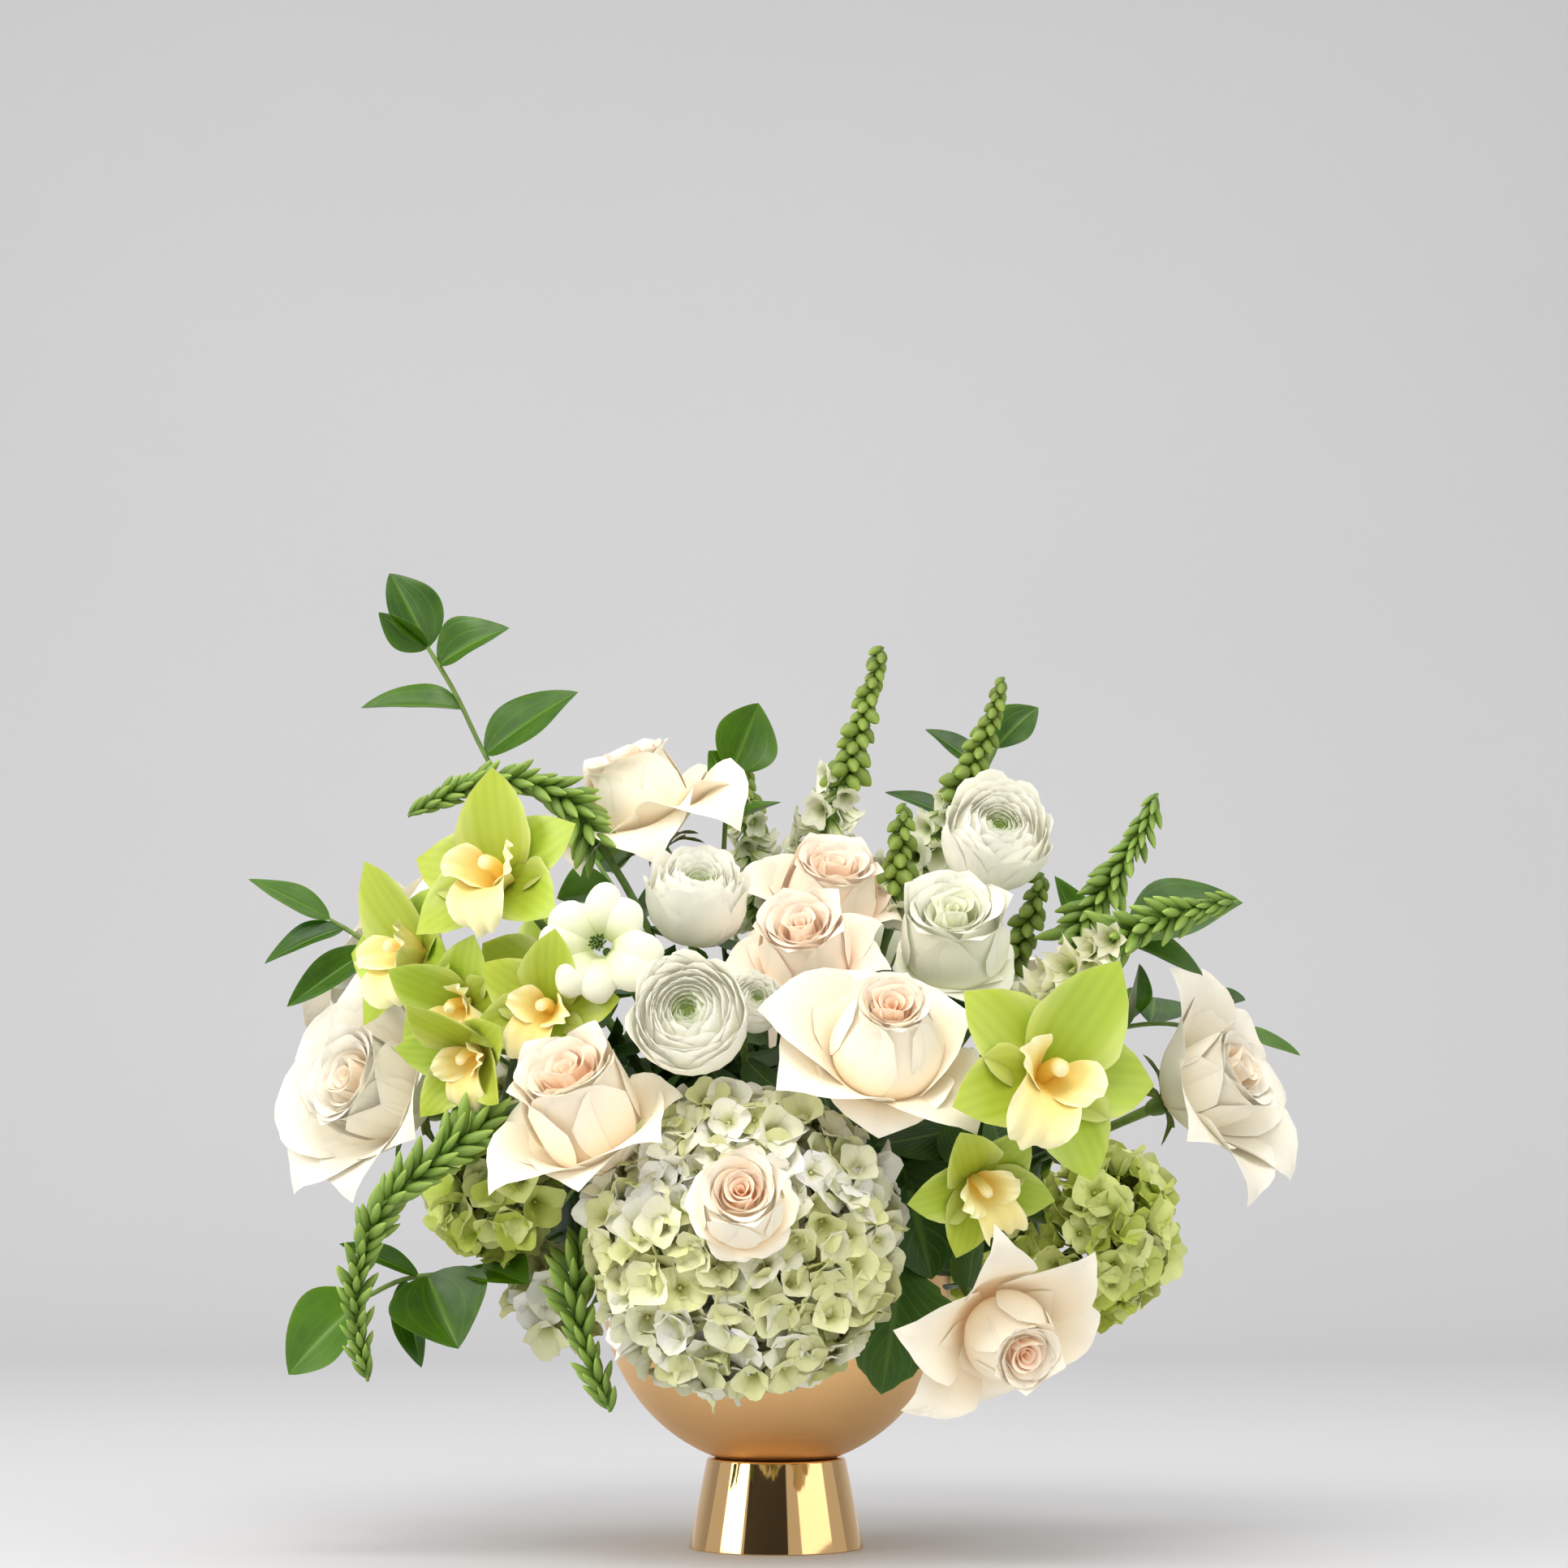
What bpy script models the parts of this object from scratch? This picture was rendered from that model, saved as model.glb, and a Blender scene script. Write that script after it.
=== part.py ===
"""Floral table centerpiece.

A spun metal bowl is screwed to a conical foot. It holds a dome of wet floral foam, and every cut
stem stands in its own hole in that foam. Each cut stem is one solid: its bloom, florets or leaves
joined to the stem that carries them. Blooms are plain solids of the right size and place.

World frame: origin at the centre of the foot's underside, +Z up, the front of the piece towards -Y.
The tables of blooms and branches are in millimetres; everything built from them is in metres.
"""
import bpy
import bmesh
from math import asin, cos, pi, radians, sin, sqrt
from mathutils import Matrix, Vector

MM = 0.001
GAP = 0.3 * MM                 # air kept between two pieces that touch
VESSEL_STEPS = 24              # sides of the turned metal pieces and the foam
BLOOM_STEPS = 10               # sides of the turned blooms

# ---- the footed bowl -------------------------------------------------------------------------
BOWL_RADIUS = 90 * MM          # outside of the spun sphere
BOWL_CENTRE_Z = 130 * MM
BOWL_RIM_Z = 142 * MM          # the mouth is a little above the equator
BOWL_WALL = 1.2 * MM
BOWL_PROFILE_POINTS = 8
FOOT_HEIGHT = 45.5 * MM
FOOT_TOP_RADIUS = 35.5 * MM
FOOT_BASE_RADIUS = 45 * MM
FOOT_WALL = 1.2 * MM
BASE_PLATE_THICKNESS = 2.5 * MM
SCREW_RADIUS = 3 * MM
SCREW_HEAD_RADIUS = 6 * MM
SCREW_HEAD_HEIGHT = 3.5 * MM
SCREW_LENGTH = 14 * MM         # below the head
WASHER_RADIUS = 10 * MM
WASHER_THICKNESS = 1.5 * MM
NUT_RADIUS = 5.8 * MM
NUT_THICKNESS = 4 * MM

# ---- the foam --------------------------------------------------------------------------------
FOAM_BOTTOM_Z = 58 * MM
FOAM_DOME_Z = 140 * MM         # where the dome starts, level with the rim
FOAM_DOME_RADIUS = 80 * MM
FOAM_DOME_HEIGHT = 52 * MM
FOAM_CLEARANCE = 0.8 * MM      # to the inside of the bowl

# ---- stems -----------------------------------------------------------------------------------
STEM_SIDES_RESOLUTION = 1      # bevel resolution 1 gives a six-sided stem
STEM_POINTS = 5
ROSE_STEM_RADIUS = 2.4 * MM
STEM_IN_FOAM = 18 * MM
STEM_STRAIGHT = 6 * MM         # outside the foam, in line with the hole
LOWEST_ENTRY = radians(20)     # stems clear the rim of the bowl

# Roses: centre of the cup, the way it faces, radius and height of the cup, radius of the guard
# petals.
ROSES = {
    "rose_crown": dict(at=(-72, -20, 387), faces=(-0.35, -0.25, 0.9), cup=(26, 47), guard=44),
    "rose_blush_back": dict(at=(28, -52, 334), faces=(0.15, -0.6, 0.8), cup=(25, 42), guard=30),
    "rose_blush_middle": dict(at=(14, -104, 302), faces=(-0.1, -0.75, 0.65), cup=(24, 44), guard=27),
    "rose_front_large": dict(at=(54, -158, 257), faces=(0.08, -0.76, 0.64), cup=(28, 54), guard=50),
    "rose_far_left": dict(at=(-204, -45, 234), faces=(-0.7, -0.65, 0.3), cup=(28, 50), guard=48),
    "rose_middle_left": dict(at=(-93, -148, 224), faces=(-0.32, -0.6, 0.73), cup=(29, 58), guard=36),
    "rose_in_hydrangea": dict(at=(-16, -194, 178), faces=(0.0, -0.93, 0.36), cup=(22, 42), guard=24),
    "rose_low_right": dict(at=(114, -128, 110), faces=(0.3, -0.85, -0.3), cup=(22, 46), guard=46),
    "rose_far_right": dict(at=(224, -34, 238), faces=(0.75, -0.55, 0.35), cup=(24, 46), guard=46),
    "rose_rear_left": dict(at=(-205, 40, 306), faces=(-0.8, 0.1, 0.6), cup=(24, 44), guard=38),
    "rose_rear_right": dict(at=(150, 105, 275), faces=(0.7, 0.6, 0.4), cup=(27, 48), guard=42),
    "rose_rear_middle": dict(at=(-24, 168, 240), faces=(-0.05, 0.92, 0.38), cup=(30, 52), guard=50),
}

# Round white blooms: centre, the way they face, radius and depth.
WHITE_BLOOMS = {
    "ranunculus_top": dict(at=(111, -50, 357), faces=(0.1, -0.85, 0.5), radius=28, depth=40),
    "ranunculus_front": dict(at=(-40, -153, 263), faces=(-0.1, -0.95, 0.25), radius=28, depth=40),
    "ranunculus_side": dict(at=(-40, -82, 322), faces=(0.1, -0.6, 0.8), radius=25, depth=38),
    "lisianthus_right": dict(at=(88, -94, 308), faces=(0.0, -0.7, 0.7), radius=31, depth=46),
    "butterfly_bloom": dict(at=(-85, -128, 301), faces=(-0.2, -0.95, 0.2), radius=30, depth=26),
    "small_white_bloom": dict(at=(-11, -131, 271), faces=(0.2, -0.9, 0.4), radius=14, depth=22),
    "ranunculus_rear": dict(at=(56, 122, 318), faces=(0.3, 0.7, 0.65), radius=32, depth=46),
}

# Green cymbidiums: centre, the way they face, petal length.
ORCHIDS = {
    "orchid_left_top": dict(at=(-135, -80, 335), faces=(-0.35, -0.85, 0.35), petal=44),
    "orchid_left_middle": dict(at=(-110, -112, 270), faces=(-0.2, -0.95, 0.1), petal=30),
    "orchid_left_low": dict(at=(-145, -106, 250), faces=(-0.45, -0.8, -0.2), petal=29),
    "orchid_left_behind": dict(at=(-154, -80, 275), faces=(-0.4, -0.9, -0.15), petal=28),
    "orchid_left_outer": dict(at=(-178, -50, 300), faces=(-0.7, -0.65, 0.2), petal=40),
    "orchid_right": dict(at=(126, -152, 236), faces=(0.3, -0.95, 0.15), petal=46),
    "orchid_right_low": dict(at=(95, -138, 188), faces=(0.3, -0.9, -0.3), petal=34),
    "orchid_rear": dict(at=(-125, 125, 290), faces=(-0.55, 0.75, 0.35), petal=44),
}

# Hydrangeas: centre of the head, the way it faces, radius across, height of its dome.
HYDRANGEAS = {
    "hydrangea_front": dict(at=(-15, -135, 159), faces=(0.0, -1.0, -0.05), radius=75, dome=42,
                            makes_way_for=("rose_in_hydrangea", "rose_middle_left")),
    "hydrangea_right": dict(at=(166, -56, 160), faces=(0.8, -0.55, -0.2), radius=44, dome=30),
    "hydrangea_left": dict(at=(-140, -82, 187), faces=(-0.7, -0.7, 0.0), radius=38, dome=30),
    "hydrangea_left_low": dict(at=(-112, -64, 131), faces=(-0.75, -0.6, -0.35), radius=25, dome=20),
    "hydrangea_rear_left": dict(at=(-120, 100, 205), faces=(-0.75, 0.65, 0.1), radius=58, dome=38),
    "hydrangea_rear_right": dict(at=(95, 135, 185), faces=(0.55, 0.85, 0.0), radius=62, dome=40),
}

# Flower spikes, from the tip down to where the bare stem starts, with a radius at each point.
SPIKES = {
    "snapdragon_tall": [((56, 0, 466), 3), ((49, -3, 441), 8), ((40, -8, 410), 12),
                        ((32, -12, 384), 16), ((24, -10, 364), 16), ((18, -6, 342), 3)],
    "snapdragon_right": [((120, 8, 451), 3), ((112, 6, 425), 8), ((100, 3, 398), 12),
                         ((88, 0, 376), 14), ((78, -3, 360), 14), ((70, -5, 342), 3)],
    "snapdragon_short": [((66, -36, 380), 3), ((64, -36, 360), 8), ((62, -37, 342), 8),
                         ((59, -38, 325), 3)],
    "snapdragon_low": [((138, -20, 345), 3), ((133, -20, 328), 8), ((126, -20, 308), 8),
                       ((116, -20, 290), 3)],
    "snapdragon_rear": [((-20, 62, 440), 3), ((-19, 62, 410), 8), ((-17, 60, 380), 13),
                        ((-15, 58, 352), 15), ((-12, 54, 330), 3)],
    "ornithogalum_upright": [((198, -16, 387), 2), ((188, -20, 365), 9), ((176, -26, 345), 11),
                             ((164, -32, 328), 10), ((154, -36, 312), 3)],
    "ornithogalum_right": [((234, -60, 328), 2), ((212, -66, 323), 10), ((188, -72, 315), 12),
                           ((164, -78, 304), 13), ((146, -80, 288), 11), ((132, -78, 270), 3)],
    "ornithogalum_drooping": [((-199, -104, 90), 2), ((-203, -112, 116), 8), ((-202, -122, 146), 11),
                              ((-190, -128, 174), 13), ((-165, -126, 197), 10),
                              ((-140, -118, 216), 3)],
    "ornithogalum_arching": [((-188, -48, 372), 2), ((-160, -50, 386), 9), ((-130, -50, 389), 10),
                             ((-105, -52, 378), 9), ((-92, -54, 360), 3)],
    "ornithogalum_at_bowl": [((-80, -118, 76), 2), ((-88, -116, 96), 9), ((-96, -112, 118), 10),
                             ((-98, -107, 137), 7), ((-94, -98, 152), 2.5)],
}

# Leafy branches: the stem from its tip down, then each leaf as base, tip, width and the way its
# upper face looks.
BRANCHES = {
    "ruscus_tall_left": dict(
        stem=[(-186, 0, 470), (-168, 0, 440), (-156, 0, 415), (-140, -4, 385), (-118, -6, 330)],
        leaves=[((-184, 0, 468), (-203, 2, 508), 22, (0.5, -0.8, 0.2)),
                ((-185, 0, 466), (-209, -8, 483), 13, (0.2, -0.7, -0.7)),
                ((-177, 0, 456), (-142, -6, 480), 23, (-0.3, -0.8, 0.5)),
                ((-164, 0, 432), (-219, -4, 438), 19, (0.1, -0.6, 0.8)),
                ((-152, 0, 408), (-106, -10, 446), 24, (-0.4, -0.8, 0.4))]),
    "ruscus_top_middle": dict(
        stem=[(-24, 8, 400), (-26, 8, 384), (-28, 6, 350)],
        leaves=[((-24, 8, 400), (-9, 10, 438), 26, (0.3, -0.9, 0.1)),
                ((-25, 8, 392), (-34, 0, 412), 18, (0.6, -0.7, 0.3)),
                ((-26, 8, 386), (-44, 24, 402), 12, (0.3, -0.6, 0.7)),
                ((-27, 7, 372), (2, 0, 386), 11, (-0.2, -0.5, 0.8))]),
    "ruscus_top_right": dict(
        stem=[(118, 26, 418), (108, 24, 398), (96, 22, 372), (80, 18, 340)],
        leaves=[((117, 26, 414), (138, 24, 440), 19, (-0.5, -0.8, 0.3)),
                ((110, 24, 402), (80, 30, 430), 12, (0.4, -0.8, 0.4)),
                ((104, 24, 390), (140, 20, 386), 17, (0.0, -0.5, 0.9)),
                ((98, 22, 376), (58, 30, 398), 10, (0.4, -0.7, 0.6))]),
    "ruscus_far_left": dict(
        stem=[(-232, -8, 322), (-216, -10, 312), (-196, -12, 296), (-170, -14, 272), (-130, -14, 240)],
        leaves=[((-230, -8, 322), (-274, -14, 344), 14, (0.2, -0.8, 0.6)),
                ((-224, -9, 318), (-266, -24, 303), 15, (0.0, -0.7, 0.7)),
                ((-210, -11, 308), (-252, -30, 277), 13, (0.3, -0.7, 0.6)),
                ((-186, -13, 286), (-210, -30, 276), 15, (0.1, -0.8, 0.5))]),
    "ruscus_low_left": dict(
        stem=[(-206, -84, 128), (-186, -84, 138), (-160, -76, 142), (-132, -60, 149), (-104, -46, 163)],
        leaves=[((-204, -84, 129), (-246, -84, 94), 27, (-0.5, -0.8, 0.3)),
                ((-184, -84, 139), (-174, -98, 96), 12, (-0.3, -0.9, 0.1)),
                ((-172, -80, 142), (-155, -104, 106), 36, (0.1, -0.95, 0.2)),
                ((-176, -82, 141), (-214, -98, 158), 10, (0.0, -0.7, 0.7)),
                ((-148, -72, 149), (-122, -104, 138), 22, (0.2, -0.9, 0.3))]),
    "ruscus_right": dict(
        stem=[(184, 14, 316), (164, 12, 302), (140, 10, 284), (110, 6, 254)],
        leaves=[((183, 14, 315), (243, -2, 336), 34, (-0.1, -0.75, 0.65)),
                ((178, 14, 311), (228, 16, 296), 18, (0.1, -0.6, 0.8)),
                ((162, 12, 300), (150, -6, 346), 17, (0.6, -0.8, 0.0))]),
    "ruscus_rear_right": dict(
        stem=[(238, 44, 264), (205, 48, 270), (165, 50, 262), (120, 44, 235)],
        leaves=[((236, 44, 264), (279, 34, 256), 15, (0.0, -0.3, 0.95)),
                ((220, 46, 268), (250, 74, 290), 22, (-0.3, 0.3, 0.9)),
                ((198, 48, 270), (208, 88, 292), 24, (0.3, 0.5, 0.8)),
                ((182, 49, 267), (196, 30, 300), 20, (0.6, -0.5, 0.6))]),
    "ruscus_rear_left": dict(
        stem=[(-105, 120, 370), (-92, 108, 350), (-74, 92, 322), (-50, 66, 280)],
        leaves=[((-104, 119, 369), (-126, 136, 402), 24, (0.5, 0.4, 0.7)),
                ((-98, 113, 360), (-72, 132, 384), 24, (-0.3, 0.8, 0.5)),
                ((-88, 105, 344), (-122, 116, 346), 22, (0.1, 0.5, 0.85)),
                ((-78, 96, 329), (-58, 122, 344), 24, (-0.2, 0.7, 0.7))]),
    "hydrangea_leaf_middle": dict(
        stem=[(62, -92, 196), (52, -74, 200)],
        leaves=[((62, -92, 196), (78, -110, 140), 44, (0.2, -0.95, 0.2))]),
    "hydrangea_leaf_at_bowl": dict(
        stem=[(62, -100, 148), (54, -84, 160)],
        leaves=[((62, -100, 148), (52, -118, 84), 36, (0.1, -0.98, 0.1))]),
}
LEAF_THICKNESS = 0.9 * MM

# Stems that go into the foam by another way than straight behind their bloom: the point they
# would come from if they were straight.
STEM_AIMS = {
    "rose_in_hydrangea": (-16, -100, 215),
    "rose_blush_back": (40, -60, 300),
    "snapdragon_tall": (0, 12, 340),
    "orchid_right_low": (120, -90, 205),
    "hydrangea_left": (-100, -50, 205),
    "hydrangea_left_low": (-110, -31, 150),
    "ornithogalum_drooping": (-100, -120, 215),
    "ornithogalum_upright": (154, -60, 300),
}

# ---- colours: base colour, roughness, metallic -----------------------------------------------
COLOURS = {
    "bowl_gold": ((0.60, 0.36, 0.15), 0.38, 1.0),
    "foot_gold": ((0.78, 0.58, 0.33), 0.08, 1.0),
    "fastener_steel": ((0.55, 0.55, 0.56), 0.35, 1.0),
    "base_plate": ((0.30, 0.24, 0.16), 0.5, 0.5),
    "rubber": ((0.05, 0.05, 0.05), 0.8, 0.0),
    "foam_green": ((0.05, 0.16, 0.07), 0.95, 0.0),
    "rose_petal": ((0.86, 0.76, 0.64), 0.55, 0.0),
    "white_petal": ((0.84, 0.85, 0.76), 0.55, 0.0),
    "orchid_green": ((0.50, 0.62, 0.12), 0.45, 0.0),
    "hydrangea_cream": ((0.74, 0.76, 0.52), 0.6, 0.0),
    "spike_green": ((0.22, 0.38, 0.08), 0.5, 0.0),
    "leaf_green": ((0.07, 0.22, 0.03), 0.35, 0.0),
}


# ---- small helpers ---------------------------------------------------------------------------
def clear_scene():
    for thing in list(bpy.data.objects):
        bpy.data.objects.remove(thing, do_unlink=True)


def new_collection(name):
    collection = bpy.data.collections.new(name)
    bpy.context.scene.collection.children.link(collection)
    return collection


def material(name):
    """One Principled material per colour, made the first time it is asked for."""
    if name in bpy.data.materials:
        return bpy.data.materials[name]
    colour, roughness, metallic = COLOURS[name]
    made = bpy.data.materials.new(name)
    made.use_nodes = True
    shader = made.node_tree.nodes["Principled BSDF"]
    shader.inputs["Base Color"].default_value = (*colour, 1.0)
    shader.inputs["Roughness"].default_value = roughness
    shader.inputs["Metallic"].default_value = metallic
    made.diffuse_color = (*colour, 1.0)
    return made


def place(name, data, collection, matrix=None, colour=None):
    thing = bpy.data.objects.new(name, data)
    collection.objects.link(thing)
    if matrix is not None:
        thing.matrix_world = matrix
    if colour:
        data.materials.append(material(colour))
    return thing


def helper(name, data, matrix=None):
    """An object that only takes part in a Boolean and is no piece of the centerpiece."""
    thing = place(name, data, cutters, matrix)
    thing.hide_render = True
    thing.display_type = "WIRE"
    return thing


def metres(point):
    return Vector(point) * MM


def facing(at, direction):
    """Placement whose local +Z looks along direction, with local +Y as upright as it can be."""
    turn = Vector(direction).normalized().to_track_quat("Z", "Y").to_matrix().to_4x4()
    return Matrix.Translation(at) @ turn


def turned(profile, name):
    """Mesh of a profile at +X, listed from the top of its outer side down, for a Screw modifier."""
    mesh = bpy.data.meshes.new(name)
    edges = [(i, i + 1) for i in range(len(profile) - 1)]
    mesh.from_pydata([(r, 0.0, z) for r, z in profile], edges, [])
    return mesh


def spin(thing, steps):
    screw = thing.modifiers.new("Spin", "SCREW")
    screw.steps = screw.render_steps = steps
    screw.use_merge_vertices = True
    screw.merge_threshold = 0.1 * MM
    screw.use_smooth_shade = True
    return screw


def boolean(thing, other, operation):
    cut = thing.modifiers.new(operation.title(), "BOOLEAN")
    cut.operation = operation
    cut.solver = "EXACT"
    cut.object = other
    return cut


def mesh_of(curve_object):
    """The evaluated mesh of a curve or modified object, its caps welded; the object is removed."""
    bpy.context.view_layer.update()
    evaluated = curve_object.evaluated_get(bpy.context.evaluated_depsgraph_get())
    mesh = bpy.data.meshes.new_from_object(evaluated)
    matrix = curve_object.matrix_world.copy()
    bpy.data.objects.remove(curve_object)
    edit = bmesh.new()
    edit.from_mesh(mesh)
    bmesh.ops.remove_doubles(edit, verts=edit.verts, dist=1e-5)
    bmesh.ops.recalc_face_normals(edit, faces=edit.faces)
    edit.to_mesh(mesh)
    edit.free()
    return mesh, matrix


def tube(name, points, radii, resolution=STEM_SIDES_RESOLUTION):
    """Closed mesh of a rod through the points, in metres, with its own radius at each."""
    curve = bpy.data.curves.new(name, "CURVE")
    curve.dimensions = "3D"
    curve.bevel_depth = 1.0
    curve.bevel_resolution = resolution
    curve.use_fill_caps = True
    rod = curve.splines.new("POLY")
    rod.points.add(len(points) - 1)
    for spot, point, radius in zip(rod.points, points, radii):
        spot.co = (*point, 1.0)
        spot.radius = radius
    mesh, _ = mesh_of(place(name, curve, cutters))
    return mesh


def plate(name, outline, thickness):
    """Closed mesh of a flat outline in local XY."""
    curve = bpy.data.curves.new(name, "CURVE")
    curve.dimensions = "2D"
    curve.fill_mode = "BOTH"
    curve.extrude = thickness / 2
    edge = curve.splines.new("POLY")
    edge.points.add(len(outline) - 1)
    edge.use_cyclic_u = True
    for spot, (x, y) in zip(edge.points, outline):
        spot.co = (x, y, 0.0, 1.0)
    mesh, _ = mesh_of(place(name, curve, cutters))
    return mesh


# ---- the footed bowl -------------------------------------------------------------------------
def sphere_profile(radius, top_z, bottom_z, count):
    """Points down a sphere about the bowl's centre between two heights."""
    start = asin((top_z - BOWL_CENTRE_Z) / radius)
    end = asin((bottom_z - BOWL_CENTRE_Z) / radius)
    angles = [start + (end - start) * i / (count - 1) for i in range(count)]
    return [(radius * cos(a), BOWL_CENTRE_Z + radius * sin(a)) for a in angles]


def build_bowl():
    bottom = FOOT_HEIGHT + GAP
    outside = sphere_profile(BOWL_RADIUS, BOWL_RIM_Z, bottom, BOWL_PROFILE_POINTS)
    inside = sphere_profile(BOWL_RADIUS - BOWL_WALL, BOWL_RIM_Z, bottom + BOWL_WALL,
                            BOWL_PROFILE_POINTS)
    hole = SCREW_RADIUS + GAP
    profile = outside + [(hole, bottom), (hole, bottom + BOWL_WALL)] + inside[::-1]
    bowl = place("bowl", turned(profile + profile[:1], "bowl"), parts, colour="bowl_gold")
    spin(bowl, VESSEL_STEPS)


def build_foot():
    slope = (FOOT_BASE_RADIUS - FOOT_TOP_RADIUS) / FOOT_HEIGHT
    inner_top = FOOT_HEIGHT - FOOT_WALL
    hole = SCREW_RADIUS + GAP
    profile = [
        (hole, FOOT_HEIGHT),
        (FOOT_TOP_RADIUS, FOOT_HEIGHT),
        (FOOT_BASE_RADIUS, 0.0),
        (FOOT_BASE_RADIUS - FOOT_WALL, 0.0),
        (FOOT_TOP_RADIUS - FOOT_WALL + slope * FOOT_WALL, inner_top),
        (hole, inner_top),
        (hole, FOOT_HEIGHT),
    ]
    foot = place("foot", turned(profile, "foot"), parts, colour="foot_gold")
    spin(foot, VESSEL_STEPS)

    plate_radius = FOOT_BASE_RADIUS - FOOT_WALL - slope * BASE_PLATE_THICKNESS - 2 * GAP
    profile = [(0, BASE_PLATE_THICKNESS), (plate_radius, BASE_PLATE_THICKNESS), (plate_radius, 0), (0, 0)]
    plate_object = place("foot_base_plate", turned(profile, "foot_base_plate"), parts,
                         colour="base_plate")
    spin(plate_object, VESSEL_STEPS)


def build_fastening():
    """The screw comes down through the bowl and the foot; its nut is inside the foot."""
    washer_base = FOOT_HEIGHT + GAP + BOWL_WALL + GAP
    hole = SCREW_RADIUS + GAP
    profile = [(hole, washer_base + WASHER_THICKNESS), (WASHER_RADIUS, washer_base + WASHER_THICKNESS),
               (WASHER_RADIUS, washer_base), (hole, washer_base),
               (hole, washer_base + WASHER_THICKNESS)]
    spin(place("sealing_washer", turned(profile, "sealing_washer"), parts, colour="rubber"), 16)

    seat = washer_base + WASHER_THICKNESS + GAP
    profile = [(0, seat + SCREW_HEAD_HEIGHT), (0.75 * SCREW_HEAD_RADIUS, seat + SCREW_HEAD_HEIGHT),
               (SCREW_HEAD_RADIUS, seat + 0.5 * SCREW_HEAD_HEIGHT), (SCREW_HEAD_RADIUS, seat),
               (SCREW_RADIUS, seat), (SCREW_RADIUS, seat - SCREW_LENGTH), (0, seat - SCREW_LENGTH)]
    spin(place("bowl_screw", turned(profile, "bowl_screw"), parts, colour="fastener_steel"), 12)

    top = FOOT_HEIGHT - FOOT_WALL - GAP
    hole = (SCREW_RADIUS + GAP) / cos(pi / 6)
    profile = [(hole, top), (NUT_RADIUS, top), (NUT_RADIUS, top - NUT_THICKNESS),
               (hole, top - NUT_THICKNESS), (hole, top)]
    spin(place("bowl_nut", turned(profile, "bowl_nut"), parts, colour="fastener_steel"), 6)


# ---- the foam and the stems' way into it -----------------------------------------------------
def build_foam():
    radius = BOWL_RADIUS - BOWL_WALL - FOAM_CLEARANCE
    dome = [(FOAM_DOME_RADIUS * sin(a), FOAM_DOME_Z + FOAM_DOME_HEIGHT * cos(a))
            for a in [radians(18 * i) for i in range(6)]]
    wall = sphere_profile(radius, FOAM_DOME_Z - 2 * MM, FOAM_BOTTOM_Z, 5)
    profile = dome + wall + [(0, FOAM_BOTTOM_Z)]
    foam = place("floral_foam", turned(profile, "floral_foam"), parts, colour="foam_green")
    spin(foam, VESSEL_STEPS)
    return foam


def entry(name, base):
    """Where a stem goes into the foam and the outward direction there.

    It is the point of the dome on the line from the foam's heart to the bloom, or to the stem's
    own aim, kept high enough for the stem to pass over the rim.
    """
    heart = Vector((0, 0, FOAM_DOME_Z))
    line = (metres(STEM_AIMS[name]) if name in STEM_AIMS else base) - heart
    across = sqrt(line.x ** 2 + line.y ** 2)
    rise = max(line.z, across * sin(LOWEST_ENTRY) / cos(LOWEST_ENTRY))
    line = Vector((line.x, line.y, rise)).normalized()
    reach = 1 / sqrt((line.x ** 2 + line.y ** 2) / FOAM_DOME_RADIUS ** 2
                     + line.z ** 2 / FOAM_DOME_HEIGHT ** 2)
    return heart + line * reach, line


def bend(start, start_pull, end_pull, end, count):
    """Points of a cubic Bezier curve."""
    points = []
    for i in range(count):
        t = i / (count - 1)
        u = 1 - t
        points.append(start * u ** 3 + start_pull * 3 * u * u * t
                      + end_pull * 3 * u * t * t + end * t ** 3)
    return points


def stem_route(name, base, backwards):
    """Points from a bloom's base, leaving it backwards, down to the foot of its hole."""
    mouth, outward = entry(name, base)
    above = mouth + outward * STEM_STRAIGHT
    pull = (base - above).length * 0.4
    points = bend(base, base + backwards * pull, above + outward * pull, above, STEM_POINTS)
    return points + [mouth - outward * STEM_IN_FOAM]


def drill_foam(name, points, radius):
    """A hole for the last, straight stretch of a stem."""
    end, outward = points[-1], (points[-2] - points[-1]).normalized()
    length = STEM_IN_FOAM + STEM_STRAIGHT + 3 * MM
    bottom = end - outward * 1 * MM
    edit = bmesh.new()
    bmesh.ops.create_cone(edit, cap_ends=True, segments=8, radius1=(radius + 1.5 * GAP) / cos(pi / 8),
                          radius2=(radius + 1.5 * GAP) / cos(pi / 8), depth=length)
    mesh = bpy.data.meshes.new(name + "_hole")
    edit.to_mesh(mesh)
    edit.free()
    stem_holes.append(helper(name + "_hole", mesh, facing(bottom + outward * length / 2, outward)))


def with_stem(bloom, name, points, radius):
    """Joins the stem to its bloom and drills its hole."""
    rod = helper(name + "_stem", tube(name + "_stem", points, [radius] * len(points)))
    boolean(bloom, rod, "UNION")
    drill_foam(name, points, radius)


# ---- blooms ----------------------------------------------------------------------------------
def rose_profile(cup_radius, cup_height, guard):
    """A cup of petals on a dish of guard petals, centred on the cup."""
    r, h, g = cup_radius * MM, cup_height * MM, guard * MM
    shape = [(0, 0.84), (0.34, 0.9), (0.62, 1.0), (0.9, 0.9), (1.0, 0.6), (0.92, 0.32)]
    cup = [(x * r, (z - 0.5) * h) for x, z in shape]
    dish = [(g, -0.24 * h), (0.97 * g, -0.34 * h), (0.45 * r, -0.54 * h), (0.16 * r, -0.66 * h),
            (0, -0.68 * h)]
    return cup + dish


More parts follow.
